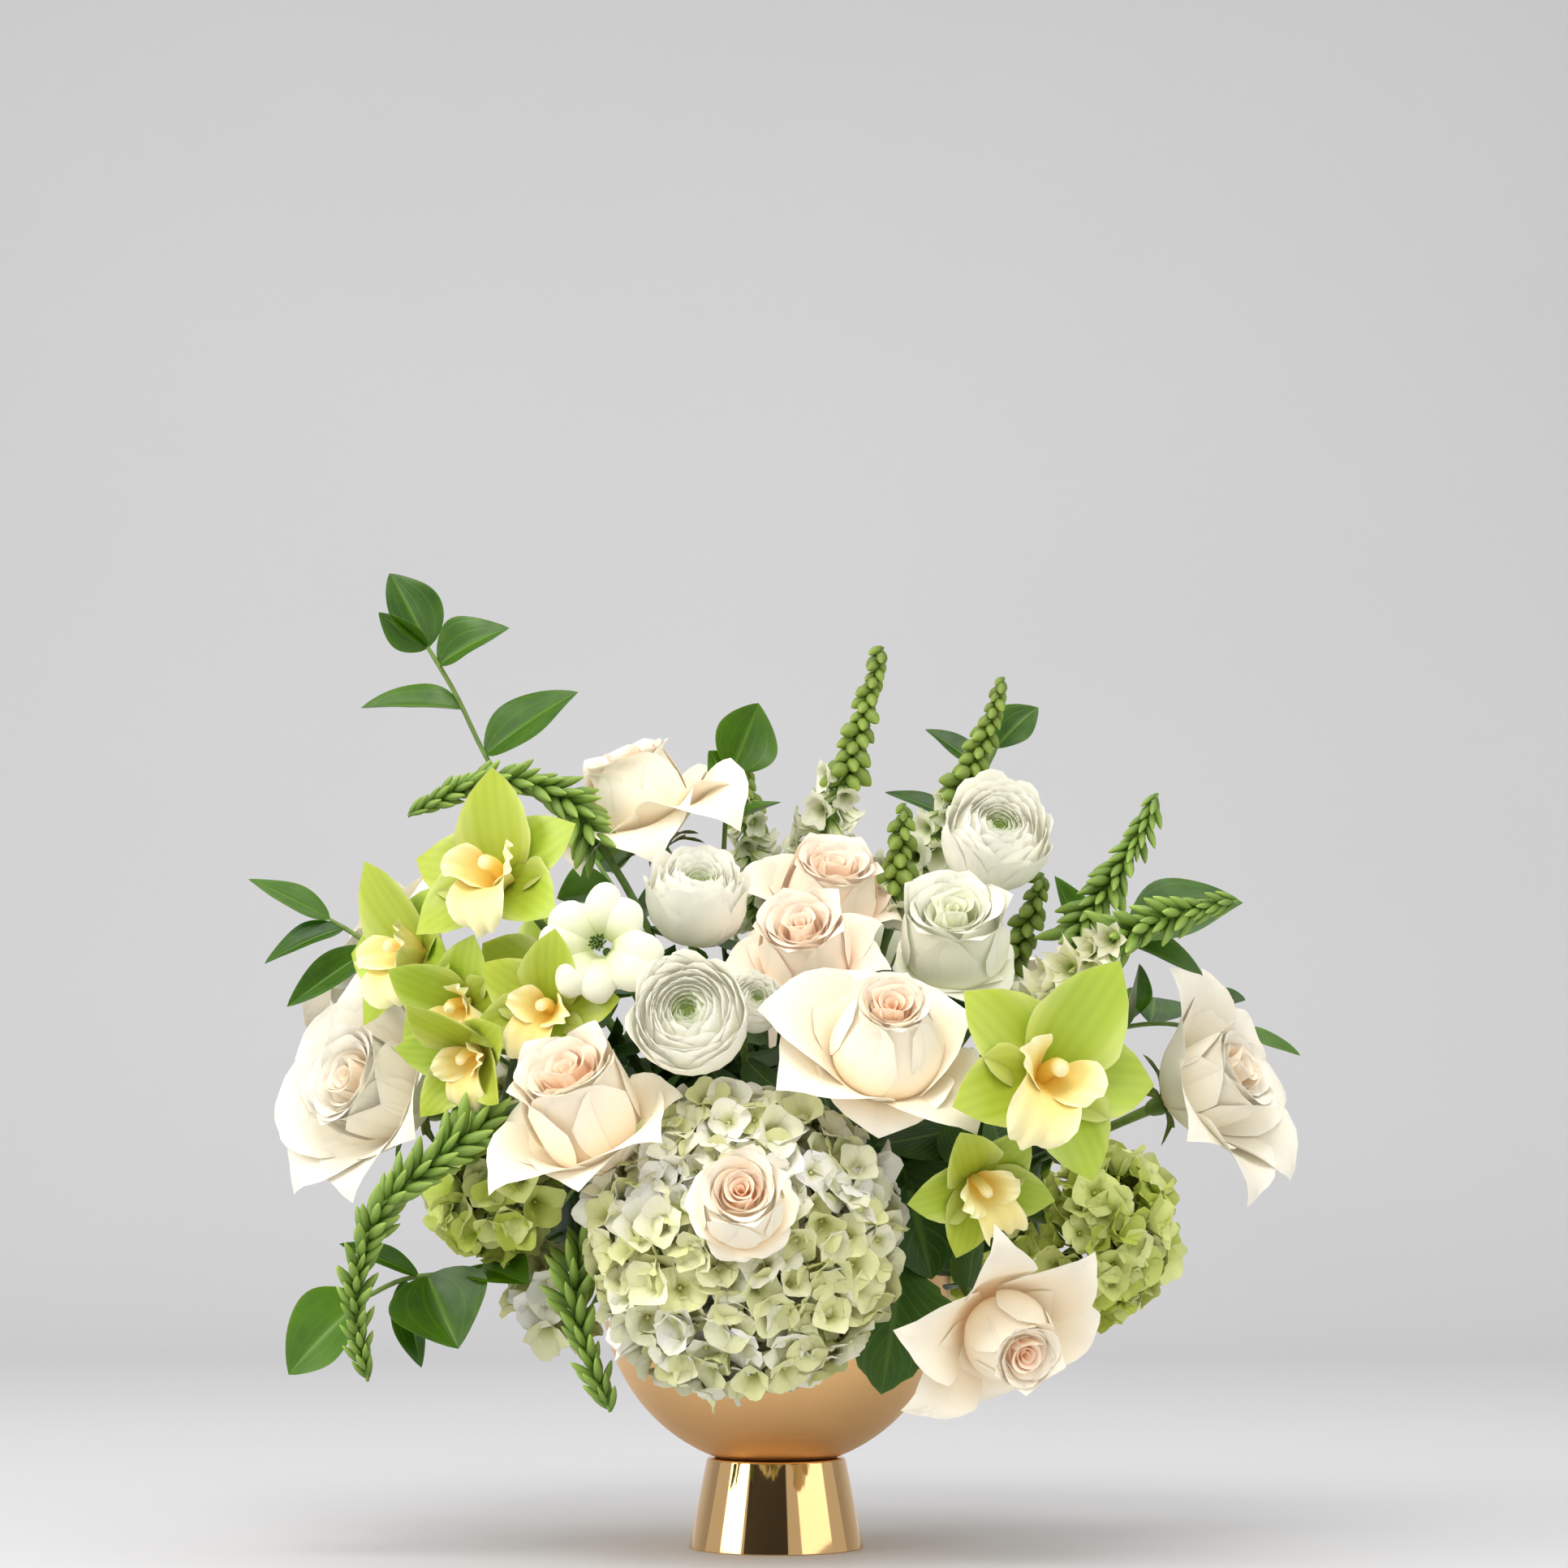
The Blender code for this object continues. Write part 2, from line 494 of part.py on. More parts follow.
def build_roses():
    for name, rose in ROSES.items():
        direction = Vector(rose["faces"]).normalized()
        centre = metres(rose["at"])
        radius, height = rose["cup"]
        bloom = place(name, turned(rose_profile(radius, height, rose["guard"]), name), parts,
                      facing(centre, direction), "rose_petal")
        spin(bloom, BLOOM_STEPS)
        base = centre - direction * 0.6 * height * MM
        with_stem(bloom, name, stem_route(name, base, -direction), ROSE_STEM_RADIUS)


def rose_clearance(head, name):
    """The space that a rose and its stem need where they pass through a hydrangea head."""
    rose = ROSES[name]
    direction = Vector(rose["faces"]).normalized()
    centre = metres(rose["at"])
    radius, height = rose["cup"]
    label = f"{head}_gap_for_{name}"
    pocket = helper(label, turned(rose_profile(radius + 1, height * 1.06, rose["guard"] + 1), label),
                    facing(centre, direction))
    spin(pocket, BLOOM_STEPS)
    points = stem_route(name, centre - direction * 0.6 * height * MM, -direction)
    tunnel = tube(label + "_stem", points[:-1], [ROSE_STEM_RADIUS + 1.2 * MM] * (len(points) - 1))
    return pocket, helper(label + "_stem", tunnel)


def build_white_blooms():
    for name, white in WHITE_BLOOMS.items():
        direction = Vector(white["faces"]).normalized()
        centre = metres(white["at"])
        radius, half = white["radius"] * MM, white["depth"] * MM / 2
        angles = [radians(a) for a in (0, 30, 60, 90, 120, 150, 180)]
        profile = [(radius * sin(a), half * cos(a)) for a in angles]
        profile[0] = (0, half * 0.9)
        profile[-1] = (0, -half)
        bloom = place(name, turned(profile, name), parts, facing(centre, direction), "white_petal")
        spin(bloom, BLOOM_STEPS)
        base = centre - direction * half * 0.9
        with_stem(bloom, name, stem_route(name, base, -direction), 1.8 * MM)


def orchid_outline(petal):
    """Five petals: the edge swings between the petal tips and the throat."""
    count = 20
    points = []
    for i in range(count):
        angle = 2 * pi * i / count
        reach = petal * (0.42 + 0.58 * (0.5 + 0.5 * cos(5 * angle)) ** 0.7)
        points.append((reach * sin(angle), reach * cos(angle)))
    return points


def build_orchids():
    for name, orchid in ORCHIDS.items():
        direction = Vector(orchid["faces"]).normalized()
        centre = metres(orchid["at"])
        petal = orchid["petal"] * MM
        placing = facing(centre, direction)
        bloom = place(name, plate(name, orchid_outline(petal), 2.5 * MM), parts, placing,
                      "orchid_green")
        edit = bmesh.new()
        bmesh.ops.create_uvsphere(edit, u_segments=8, v_segments=5, radius=0.26 * petal)
        lip_mesh = bpy.data.meshes.new(name + "_lip")
        edit.to_mesh(lip_mesh)
        edit.free()
        forward = Matrix.Translation((0, -0.12 * petal, 0.18 * petal))
        lip = helper(name + "_lip", lip_mesh, placing @ forward)
        boolean(bloom, lip, "UNION")
        base = centre - direction * 0.5 * MM
        with_stem(bloom, name, stem_route(name, base, -direction), 2.2 * MM)


def build_hydrangeas():
    for name, head in HYDRANGEAS.items():
        direction = Vector(head["faces"]).normalized()
        centre = metres(head["at"])
        radius, dome = head["radius"] * MM, head["dome"] * MM
        angles = [radians(a) for a in (0, 22, 44, 66, 88, 108)]
        profile = [(radius * sin(a), dome * cos(a)) for a in angles]
        profile += [(0.7 * radius, -0.45 * dome), (0, -0.3 * dome)]
        bloom = place(name, turned(profile, name), parts, facing(centre, direction),
                      "hydrangea_cream")
        spin(bloom, BLOOM_STEPS + 4)
        base = centre - direction * 0.2 * dome
        with_stem(bloom, name, stem_route(name, base, -direction), 3.0 * MM)
        for rose in head.get("makes_way_for", ()):
            for space in rose_clearance(name, rose):
                boolean(bloom, space, "DIFFERENCE")


def build_spikes():
    for name, rows in SPIKES.items():
        points = [metres(at) for at, _ in rows]
        radii = [radius * MM for _, radius in rows]
        backwards = (points[-1] - points[-2]).normalized()
        route = stem_route(name, points[-1], backwards)
        bare = radii[-1] if radii[-1] < 2.5 * MM else 2.2 * MM
        mesh = tube(name, points + route[1:], radii + [bare] * (len(route) - 1), 2)
        place(name, mesh, parts, colour="spike_green")
        drill_foam(name, route, bare)


# ---- leafy branches --------------------------------------------------------------------------
def leaf_outline(length, width):
    """A pointed oval along +X from the leaf's base at the origin."""
    half = [(0.0, 0.07), (0.15, 0.62), (0.38, 1.0), (0.62, 0.84), (0.84, 0.4)]
    upper = [(x * length, y * width / 2) for x, y in half]
    lower = [(x, -y) for x, y in upper[::-1]]
    return upper + [(length, 0.0)] + lower


def leaf_placing(base, tip, looks):
    """Local +X from base to tip, local +Z as near as it can be to the way the leaf looks."""
    along = (tip - base).normalized()
    across = Vector(looks).cross(along).normalized()
    turn = Matrix((along, across, along.cross(across))).transposed().to_4x4()
    return Matrix.Translation(base) @ turn


def nearest_on(points, spot):
    """The point of a stem's run nearest to the spot."""
    best = points[0]
    for start, end in zip(points, points[1:]):
        run = end - start
        share = min(max((spot - start).dot(run) / run.length_squared, 0.0), 1.0)
        candidate = start + run * share
        if (candidate - spot).length < (best - spot).length:
            best = candidate
    return best


def build_branches():
    for name, branch in BRANCHES.items():
        points = [metres(point) for point in branch["stem"]]
        backwards = (points[-1] - points[-2]).normalized()
        route = stem_route(name, points[-1], backwards)
        radius = 1.3 * MM
        mesh = tube(name, points + route[1:], [radius] * (len(points) + len(route) - 1))
        stem = place(name, mesh, parts, colour="leaf_green")
        drill_foam(name, route, radius)
        for i, (base, tip, width, looks) in enumerate(branch["leaves"]):
            base, tip = nearest_on(points, metres(base)), metres(tip)
            outline = leaf_outline((tip - base).length, width * MM)
            leaf = helper(f"{name}_leaf_{i + 1}", plate(f"{name}_leaf_{i + 1}", outline, LEAF_THICKNESS),
                          leaf_placing(base, tip, looks))
            boolean(stem, leaf, "UNION")


clear_scene()
parts = new_collection("floral_table_centerpiece")
cutters = new_collection("cutters")
stem_holes = []

build_bowl()
build_foot()
build_fastening()
foam_block = build_foam()
build_roses()
build_white_blooms()
build_orchids()
build_spikes()
build_branches()
build_hydrangeas()
for hole_cutter in stem_holes:
    boolean(foam_block, hole_cutter, "DIFFERENCE")
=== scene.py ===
# %% [markdown]
# # A floral table centerpiece, dressed
#
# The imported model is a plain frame: a footed bowl, a block of foam and one plain solid for each cut
# stem. This lesson keeps the metal and the foam where they are and grows a real-looking flower in
# the place of every plain one. Sizes in the tables are in millimetres, because petals and leaves
# are measured that way at the bench; `MM` turns them into Blender's metres.

# %% Load the frame
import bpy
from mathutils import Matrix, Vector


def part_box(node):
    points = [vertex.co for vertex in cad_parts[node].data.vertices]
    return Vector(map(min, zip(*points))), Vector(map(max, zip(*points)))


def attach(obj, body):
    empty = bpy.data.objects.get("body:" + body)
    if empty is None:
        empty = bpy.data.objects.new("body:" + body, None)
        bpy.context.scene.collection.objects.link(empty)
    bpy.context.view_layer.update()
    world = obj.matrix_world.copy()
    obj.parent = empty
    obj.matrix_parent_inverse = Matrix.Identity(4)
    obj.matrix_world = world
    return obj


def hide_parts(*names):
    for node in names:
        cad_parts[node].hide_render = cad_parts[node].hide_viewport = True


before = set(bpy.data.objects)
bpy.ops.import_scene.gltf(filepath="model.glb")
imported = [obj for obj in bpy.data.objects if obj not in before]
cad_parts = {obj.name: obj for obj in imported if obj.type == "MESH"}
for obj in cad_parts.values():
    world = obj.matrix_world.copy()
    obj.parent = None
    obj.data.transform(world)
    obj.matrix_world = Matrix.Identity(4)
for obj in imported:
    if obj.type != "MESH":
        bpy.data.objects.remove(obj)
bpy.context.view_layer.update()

import zlib
from collections import namedtuple
from math import asin, cos, pi, radians, sin, sqrt, tan

import bmesh
import bpy
import numpy as np
from mathutils import Matrix, Vector

MM = 0.001
scene = bpy.context.scene

# %% [markdown]
# ## Camera and studio
#
# The piece stands on a pale floor that curves up into a pale wall, the way a photographer's paper
# sweep does, so that side shows no horizon line. The camera stands two metres away at about the
# height of the bowl, with a long lens so that near and far blooms keep their true proportions.

# %% Camera
CAMERA_DISTANCE = 1.93
CAMERA_HEIGHT = 0.195
LENS_MM = 85
LOOK_AT = Vector((0.004, 0.0, 0.3935))

camera_data = bpy.data.cameras.new("camera")
camera_data.lens = LENS_MM
camera_data.sensor_width = 36
camera_data.clip_start = 0.05
camera = bpy.data.objects.new("camera", camera_data)
camera.location = (LOOK_AT.x, -CAMERA_DISTANCE, CAMERA_HEIGHT)
camera.rotation_euler = (LOOK_AT - camera.location).to_track_quat("-Z", "Y").to_euler()
scene.collection.objects.link(camera)
scene.camera = camera
scene.view_settings.view_transform = "Standard"
print("camera", round(camera_data.angle_x * 180 / pi, 1), "degrees wide at", CAMERA_DISTANCE, "m")

# %% [markdown]
# ## Small tools for materials
#
# Every finish here is a tree of nodes. Typing each link out would hide what a finish is, so a few
# small functions add a node, mix two colours, and fill the shader's own sockets.

# %% Node tools
def fill(tree, sockets, values):
    """Gives sockets their values, or links them."""
    for name, value in values.items():
        if isinstance(value, bpy.types.NodeSocket):
            tree.links.new(value, sockets[name])
        else:
            sockets[name].default_value = value


def node(tree, kind, inputs=None, **settings):
    """Adds a node, sets its options, and fills its inputs with values or links."""
    made = tree.nodes.new(kind)
    for name, value in settings.items():
        setattr(made, name, value)
    fill(tree, made.inputs, inputs or {})
    return made


def new_material(name):
    """A material with only a Principled shader; returns it with its tree and that shader."""
    made = bpy.data.materials.new(name)
    made.use_nodes = True
    tree = made.node_tree
    return made, tree, tree.nodes["Principled BSDF"]


def linear(red, green, blue):
    """A colour picked on a screen, as the linear values that Blender mixes."""
    def one(value):
        share = value / 255
        return share / 12.92 if share <= 0.04045 else ((share + 0.055) / 1.055) ** 2.4
    return (one(red), one(green), one(blue), 1.0)


def mixed(tree, share, first, second):
    return node(tree, "ShaderNodeMix", {"Factor": share, "A": first, "B": second},
                data_type="RGBA").outputs["Result"]


def object_place(tree):
    """Where a point lies on the object, for patterns that don't follow a petal."""
    return node(tree, "ShaderNodeTexCoord").outputs["Object"]


def noise(tree, vector, scale, detail, roughness=0.5):
    return node(tree, "ShaderNodeTexNoise", {"Vector": vector, "Scale": scale, "Detail": detail,
                                             "Roughness": roughness}).outputs["Fac"]


def dress(tree, shader, height=None, strength=0.0, distance=0.0, **sockets):
    """Fills the shader's sockets, `_` for a space, and lets a height raise the surface."""
    if height is not None:
        bump = node(tree, "ShaderNodeBump", {"Height": height, "Strength": strength,
                                             "Distance": distance})
        sockets["Normal"] = bump.outputs["Normal"]
    fill(tree, shader.inputs, {name.replace("_", " "): value for name, value in sockets.items()})

# %% [markdown]
# ## The paper sweep
#
# It could be a floor and a wall, but their corner would show. One bent sheet has none.

# %% Sweep
def sweep_mesh():
    """The floor, its rounded corner and the wall as one sheet."""
    bend_radius, floor_front, half_wide, wall_y, wall_top = 0.9, -9.0, 9.0, 2.8, 5.5
    profile = [(floor_front, 0.0), (wall_y - bend_radius, 0.0)]
    profile += [(wall_y - bend_radius + bend_radius * sin(a), bend_radius * (1 - cos(a)))
                for a in np.linspace(0, pi / 2, 24)[1:]]
    profile.append((wall_y, wall_top))
    points = [(x, y, z) for y, z in profile for x in (-half_wide, half_wide)]
    faces = [(2 * i, 2 * i + 1, 2 * i + 3, 2 * i + 2) for i in range(len(profile) - 1)]
    mesh = bpy.data.meshes.new("sweep")
    mesh.from_pydata(points, [], faces)
    mesh.shade_smooth()
    return mesh


sweep_material, tree, shader = new_material("plaster_sweep")
mottle = noise(tree, object_place(tree), 1.3, 4.0)
dress(tree, shader, Base_Color=mixed(tree, mottle, linear(208, 208, 211), linear(215, 215, 218)),
      Roughness=0.62)
sweep = bpy.data.objects.new("sweep", sweep_mesh())
sweep.data.materials.append(sweep_material)
scene.collection.objects.link(sweep)
print("sweep", len(sweep.data.polygons), "faces")

# %% [markdown]
# ## Light
#
# One large window-like light from the front left gives soft shadows, a weaker one fills the right
# side, and two above lift the tops of the blooms. A pale world fills what is left.

# %% Lights
world = bpy.data.worlds.new("studio")
scene.world = world
world.use_nodes = True
fill(world.node_tree, world.node_tree.nodes["Background"].inputs,
     {"Color": (1.0, 0.985, 0.96, 1.0), "Strength": 0.6})


def soft_light(name, place, target, size, power, colour):
    data = bpy.data.lights.new(name, "AREA")
    data.shape = "RECTANGLE"
    data.size, data.size_y = size
    data.energy = power
    data.color = colour
    lamp = bpy.data.objects.new(name, data)
    lamp.location = place
    lamp.rotation_euler = (Vector(target) - Vector(place)).to_track_quat("-Z", "Y").to_euler()
    scene.collection.objects.link(lamp)


soft_light("window_left", (-2.1, -1.05, 1.25), (0, 0, 0.25), (1.5, 1.9), 33, (1.0, 0.985, 0.95))
soft_light("fill_right", (1.9, -1.2, 1.25), (0, 0, 0.25), (2.2, 1.8), 16, (1.0, 0.985, 0.96))
soft_light("top_front", (-0.3, -1.8, 2.4), (0, 0, 0.2), (1.6, 1.2), 35, (1.0, 0.99, 0.965))
soft_light("top_soft", (0.0, 0.5, 2.5), (0, 0, 0.2), (2.0, 2.0), 16, (1.0, 1.0, 1.0))

# %% [markdown]
# ## A dark card for the polished foot
#
# Polished metal shows whatever stands round it, so a dark card behind the camera gives the foot its
# deep middle band, as a black flag does in a studio. Only mirror-like reflections see the card.

# %% Dark card
card_mesh = bpy.data.meshes.new("dark_card")
card_mesh.from_pydata([(-1.9, -2.0, 0.1), (0.7, -2.45, 0.1), (0.7, -2.45, 1.3), (-1.9, -2.0, 1.3)],
                      [], [(0, 1, 2, 3)])
card_material, tree, shader = new_material("dark_cloth")
weave = noise(tree, object_place(tree), 300.0, 2.0)
dress(tree, shader, Base_Color=mixed(tree, weave, (0.02, 0.02, 0.018, 1), (0.05, 0.045, 0.04, 1)),
      Roughness=0.95)
card_mesh.materials.append(card_material)
card = bpy.data.objects.new("dark_card", card_mesh)
scene.collection.objects.link(card)
card.visible_camera = card.visible_diffuse = card.visible_shadow = card.visible_transmission = False
print("card", len(card_mesh.polygons), "face")

# %% [markdown]
# ## Petals are thin closed shells
#
# A petal is a curved sheet a third of a millimetre thick that thins out to nothing at its edge. A
# single sheet of faces would have no thickness and no inside, so each sheet here gets a second one
# just behind it, and the two share the points of their edge. The mesh also carries numbers for its
# material: how far across and along the petal a point lies, how deep in the flower the petal sits,
# and one random number for the whole petal.

# %% Shell builder
class Blossom:
    """Collects closed shells and rods in millimetres, with the numbers their materials read."""

    def __init__(self):
        self.points, self.faces, self.slots = [], [], []
        self.petal, self.chance = [], []
        self.count = 0

    def _keep(self, points, faces, petal, chance, slot):
        self.points.append(points)
        self.petal.append(petal)
        self.chance.append(np.full(len(points), chance))
        self.faces += [tuple(i + self.count for i in face) for face in faces]
        self.slots += [slot] * len(faces)
        self.count += len(points)

    def sheet(self, grid, thickness, depth=0.0, chance=0.5, slot=0):
        """Adds a grid of points (across, along) as a lens-shaped shell."""
        wide, long = grid.shape[:2]
        normal = np.cross(np.gradient(grid, axis=0), np.gradient(grid, axis=1))
        normal /= np.maximum(np.linalg.norm(normal, axis=2, keepdims=True), 1e-9)
        inner = np.zeros((wide, long), bool)
        inner[1:-1, 1:-1] = True
        front = np.arange(wide * long).reshape(wide, long)
        back = front.copy()
        back[inner] = wide * long + np.arange(inner.sum())
        lift = normal * thickness / 2
        points = np.concatenate([np.where(inner[..., None], grid + lift, grid).reshape(-1, 3),
                                 (grid - lift)[inner]])
        across, along = np.meshgrid(np.linspace(-1, 1, wide), np.linspace(0, 1, long),
                                    indexing="ij")
        numbers = np.stack([across, along, np.full_like(across, depth)], axis=2)
        numbers = np.concatenate([numbers.reshape(-1, 3), numbers[inner]])
        faces = []
        for i in range(wide - 1):
            for j in range(long - 1):
                faces.append((front[i, j], front[i + 1, j], front[i + 1, j + 1], front[i, j + 1]))
        for i in range(wide - 1):
            for j in range(long - 1):
                faces.append((back[i, j + 1], back[i + 1, j + 1], back[i + 1, j], back[i, j]))
        self._keep(points, faces, numbers, chance, slot)

    def rod(self, path, radii, sides=8, depth=0.0, chance=0.5, slot=0):
        """Adds a closed rod along a path, with a radius at each of its points."""
        path = np.asarray(path, float)
        radii = np.broadcast_to(np.asarray(radii, float), len(path))
        along = np.gradient(path, axis=0)
        along /= np.maximum(np.linalg.norm(along, axis=1, keepdims=True), 1e-9)
        side = np.cross(along[0], (0.0, 0.0, 1.0) if abs(along[0][2]) < 0.9 else (0.0, 1.0, 0.0))
        rings = []
        for centre, forward, radius in zip(path, along, radii):
            side = side - forward * side.dot(forward)
            side /= np.linalg.norm(side)
            other = np.cross(forward, side)
            turns = np.linspace(0, 2 * pi, sides, endpoint=False)
            rings.append(centre + radius * (np.outer(np.cos(turns), side)
                                            + np.outer(np.sin(turns), other)))
        count = len(path)
        points = np.concatenate(rings + [path[:1], path[-1:]])
        faces = []
        for i in range(count - 1):
            for j in range(sides):
                k = (j + 1) % sides
                faces.append((i * sides + j, i * sides + k, (i + 1) * sides + k,
                              (i + 1) * sides + j))
        first, last, top = count * sides, count * sides + 1, (count - 1) * sides
        for j in range(sides):
            k = (j + 1) % sides
            faces.append((first, k, j))
            faces.append((last, top + j, top + k))
        share = np.repeat(np.linspace(0, 1, count), sides)
        numbers = np.zeros((len(points), 3))
        numbers[:, 1] = np.concatenate([share, [0.0, 1.0]])
        numbers[:, 2] = depth
        self._keep(points, faces, numbers, chance, slot)

    def mesh(self, name, materials, matrix=None, sharp=70):
        """The whole as one mesh in metres, placed by the matrix, or left about its origin."""
        points = np.concatenate(self.points) * MM
        made = bpy.data.meshes.new(name)
        made.from_pydata(points.tolist(), [], self.faces)
        if matrix is not None:
            made.transform(matrix)
        petal = made.attributes.new("petal", "FLOAT_VECTOR", "POINT")
        petal.data.foreach_set("vector", np.concatenate(self.petal).astype(np.float32).ravel())
        chance = made.attributes.new("chance", "FLOAT", "POINT")
        chance.data.foreach_set("value", np.concatenate(self.chance).astype(np.float32))
        for material in materials:
            made.materials.append(material)
        made.polygons.foreach_set("material_index", np.array(self.slots, np.int32))
        made.shade_smooth()
        made.set_sharp_from_angle(angle=radians(sharp))
        return made


def seed_of(name, most=1000):
    """A whole number below `most` that a name always gives."""
    return zlib.crc32(name.encode()) % most


def dice(name):
    """A random generator of its own for each piece, the same on each run."""
    return np.random.default_rng(zlib.crc32(name.encode()))


def facing(at, direction, roll=0.0):
    """Placement in metres whose local +Z looks along direction, with local +Y kept upright."""
    turn = Vector(direction).normalized().to_track_quat("Z", "Y").to_matrix().to_4x4()
    return Matrix.Translation(Vector(at) * MM) @ turn @ Matrix.Rotation(roll, 4, "Z")


def show(name, mesh, node_name):
    """Puts a finished mesh in the scene in the place of a plain solid of the frame."""
    piece = bpy.data.objects.new(name, mesh)
    scene.collection.objects.link(piece)
    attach(piece, "root")
    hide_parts(node_name)
    return piece


def joined(name, meshes):
    """Several meshes made one, with the materials and numbers they carry."""
    objects = []
    for part in meshes:
        thing = bpy.data.objects.new(name, part)
        scene.collection.objects.link(thing)
        objects.append(thing)
    with bpy.context.temp_override(active_object=objects[0], object=objects[0],
                                   selected_objects=objects, selected_editable_objects=objects):
        bpy.ops.object.join()
    result = objects[0].data
    bpy.data.objects.remove(objects[0])
    return result


def make_each(builder, table):
    """Builds one piece for each row of a table."""
    for name, row in table.items():
        piece = builder(name, **row)
        print(piece.name, len(piece.data.polygons), "faces")


print("a seed from a name:", seed_of("rose_crown"))

# %% [markdown]
# ## What colours a petal
#
# A rose petal isn't one colour. It is warmer towards its base, where light has passed through many
# layers, paler at its edge, and faintly striped by veins that fan out from the base. Light also
# goes into the petal and comes out again a little further on, which is what subsurface scattering
# does. The materials below read the numbers that each petal carries instead of its place in the
# room, so a pattern follows its petal however it is curled.

# %% Petal materials
PetalNumbers = namedtuple("PetalNumbers", "across along depth chance vector")
LIGHT_THROUGH = 0.06   # stands for the light that reaches a petal through the ones above it


def petal_numbers(tree):
    """Sockets for across (-1 to 1), along (0 to 1), depth in the flower and the petal's chance."""
    vector = node(tree, "ShaderNodeAttribute", attribute_name="petal").outputs["Vector"]
    split = node(tree, "ShaderNodeSeparateXYZ", {"Vector": vector}).outputs
    chance = node(tree, "ShaderNodeAttribute", attribute_name="chance").outputs["Fac"]
    return PetalNumbers(split["X"], split["Y"], split["Z"], chance, vector)


def between(tree, value, low, high, start=0.0, end=1.0):
    """The value moved from one range to another, held at its ends."""
    return node(tree, "ShaderNodeMapRange", {"Value": value, "From Min": low, "From Max": high,
                                             "To Min": start, "To Max": end}).outputs["Result"]


def shaded(tree, colour, value, hue=0.5):
    return node(tree, "ShaderNodeHueSaturation", {"Color": colour, "Hue": hue,
                                                  "Value": value}).outputs["Color"]


def maths(tree, operation, first, second=None, third=None):
    values = {i: v for i, v in enumerate((first, second, third)) if v is not None}
    return node(tree, "ShaderNodeMath", values, operation=operation).outputs[0]


def petal_veins(tree, petal, fineness=26.0):
    """Fine lines that run from the petal's base to its edge, as numbers from 0 to 1."""
    stretch = node(tree, "ShaderNodeVectorMath", {0: petal.vector, 1: (fineness, 1.6, 3.0)},
                   operation="MULTIPLY")
    shift = node(tree, "ShaderNodeVectorMath", {0: stretch.outputs["Vector"], 1: petal.chance},
                 operation="ADD")
    return noise(tree, shift.outputs["Vector"], 1.0, 3.0, 0.55)


def petal_finish(name, heart, body, rim, base_glow, heart_reach=0.6):
    """A petal material: heart colour inside the flower, body outside, rim at the petal's edge."""
    made, tree, shader = new_material(name)
    petal = petal_numbers(tree)
    layer = maths(tree, "ADD", petal.depth, between(tree, petal.chance, 0, 1, -0.12, 0.12))
    colour = mixed(tree, between(tree, layer, 0.0, heart_reach), heart, body)
    colour = mixed(tree, between(tree, petal.along, 0.05, 0.5, 0.85, 0.0), colour, base_glow)
    colour = mixed(tree, between(tree, petal.along, 0.62, 1.0, 0.0, 0.75), colour, rim)
    veins = petal_veins(tree, petal)
    colour = shaded(tree, colour, between(tree, veins, 0.2, 0.8, 0.97, 1.02))
    dress(tree, shader, veins, 0.06, 0.0006, Base_Color=colour, Emission_Color=colour,
          Emission_Strength=LIGHT_THROUGH, Roughness=0.55, Specular_IOR_Level=0.3,
          Subsurface_Weight=0.3, Subsurface_Radius=(1.0, 0.88, 0.74), Subsurface_Scale=0.0004)
    return made


ROSE_IVORY = petal_finish("rose_ivory", linear(252, 174, 100), linear(248, 236, 212),
                          linear(251, 244, 228), linear(252, 214, 158))
ROSE_BLUSH = petal_finish("rose_blush", linear(252, 206, 168), linear(250, 232, 212),
                          linear(252, 240, 224), linear(252, 212, 172))
ROSE_WHITE = petal_finish("rose_white", linear(250, 210, 154), linear(235, 229, 210),
                          linear(242, 237, 224), linear(242, 220, 170), heart_reach=0.4)


def stalk_finish(name, light, dark):
    """Green skin of a stem or sepal, lighter where it is young."""
    made, tree, shader = new_material(name)
    fleck = noise(tree, object_place(tree), 160.0, 3.0)
    share = maths(tree, "ADD", fleck, between(tree, petal_numbers(tree).along, 0, 1, 0, 0.5))
    dress(tree, shader, fleck, 0.2, 0.0005, Roughness=0.55, Subsurface_Weight=0.1,
          Subsurface_Scale=0.002,
          Base_Color=mixed(tree, between(tree, share, 0.35, 1.1), light, dark))
    return made


STALK = stalk_finish("green_stalk", linear(122, 150, 66), linear(66, 98, 38))
print("petal materials:", [m.name for m in (ROSE_IVORY, ROSE_BLUSH, ROSE_WHITE, STALK)])

# %% [markdown]
# ## One petal
#
# Every petal in this piece comes from one idea. Its middle line leaves the flower's axis at an
# angle that changes along the petal: wide at the base, upright along the side of the cup, and
# rolled outwards at the lip. Across that line the petal follows an arc that hugs the flower inside
# it. The outline is a fan with rounded corners, sometimes with a small point in the middle.

# %% Petal shape
GOLDEN_ANGLE = pi * (3 - sqrt(5))
FIFTH_OF_A_TURN = 1.2566
PETAL_GRID = (13, 14)   # points across and along


def mid_line(bends, base, reach, top):
    """Radius and height along a petal's middle, from its angle to the flower's axis."""
    fine = np.linspace(0, 1, 61)
    angle = np.radians(np.interp(fine, [v for v, _ in bends], [a for _, a in bends]))
    angle = np.convolve(np.pad(angle, 4, mode="edge"), np.ones(9) / 9, "valid")
    out = np.concatenate([[0], np.cumsum(np.sin(angle[1:]) + np.sin(angle[:-1]))]) / 120
    up = np.concatenate([[0], np.cumsum(np.cos(angle[1:]) + np.cos(angle[:-1]))]) / 120
    wide = (reach - base[0]) / out.max()
    high = wide if top is None else (top - base[1]) / up.max()
    return fine, base[0] + out * wide, base[1] + up * high


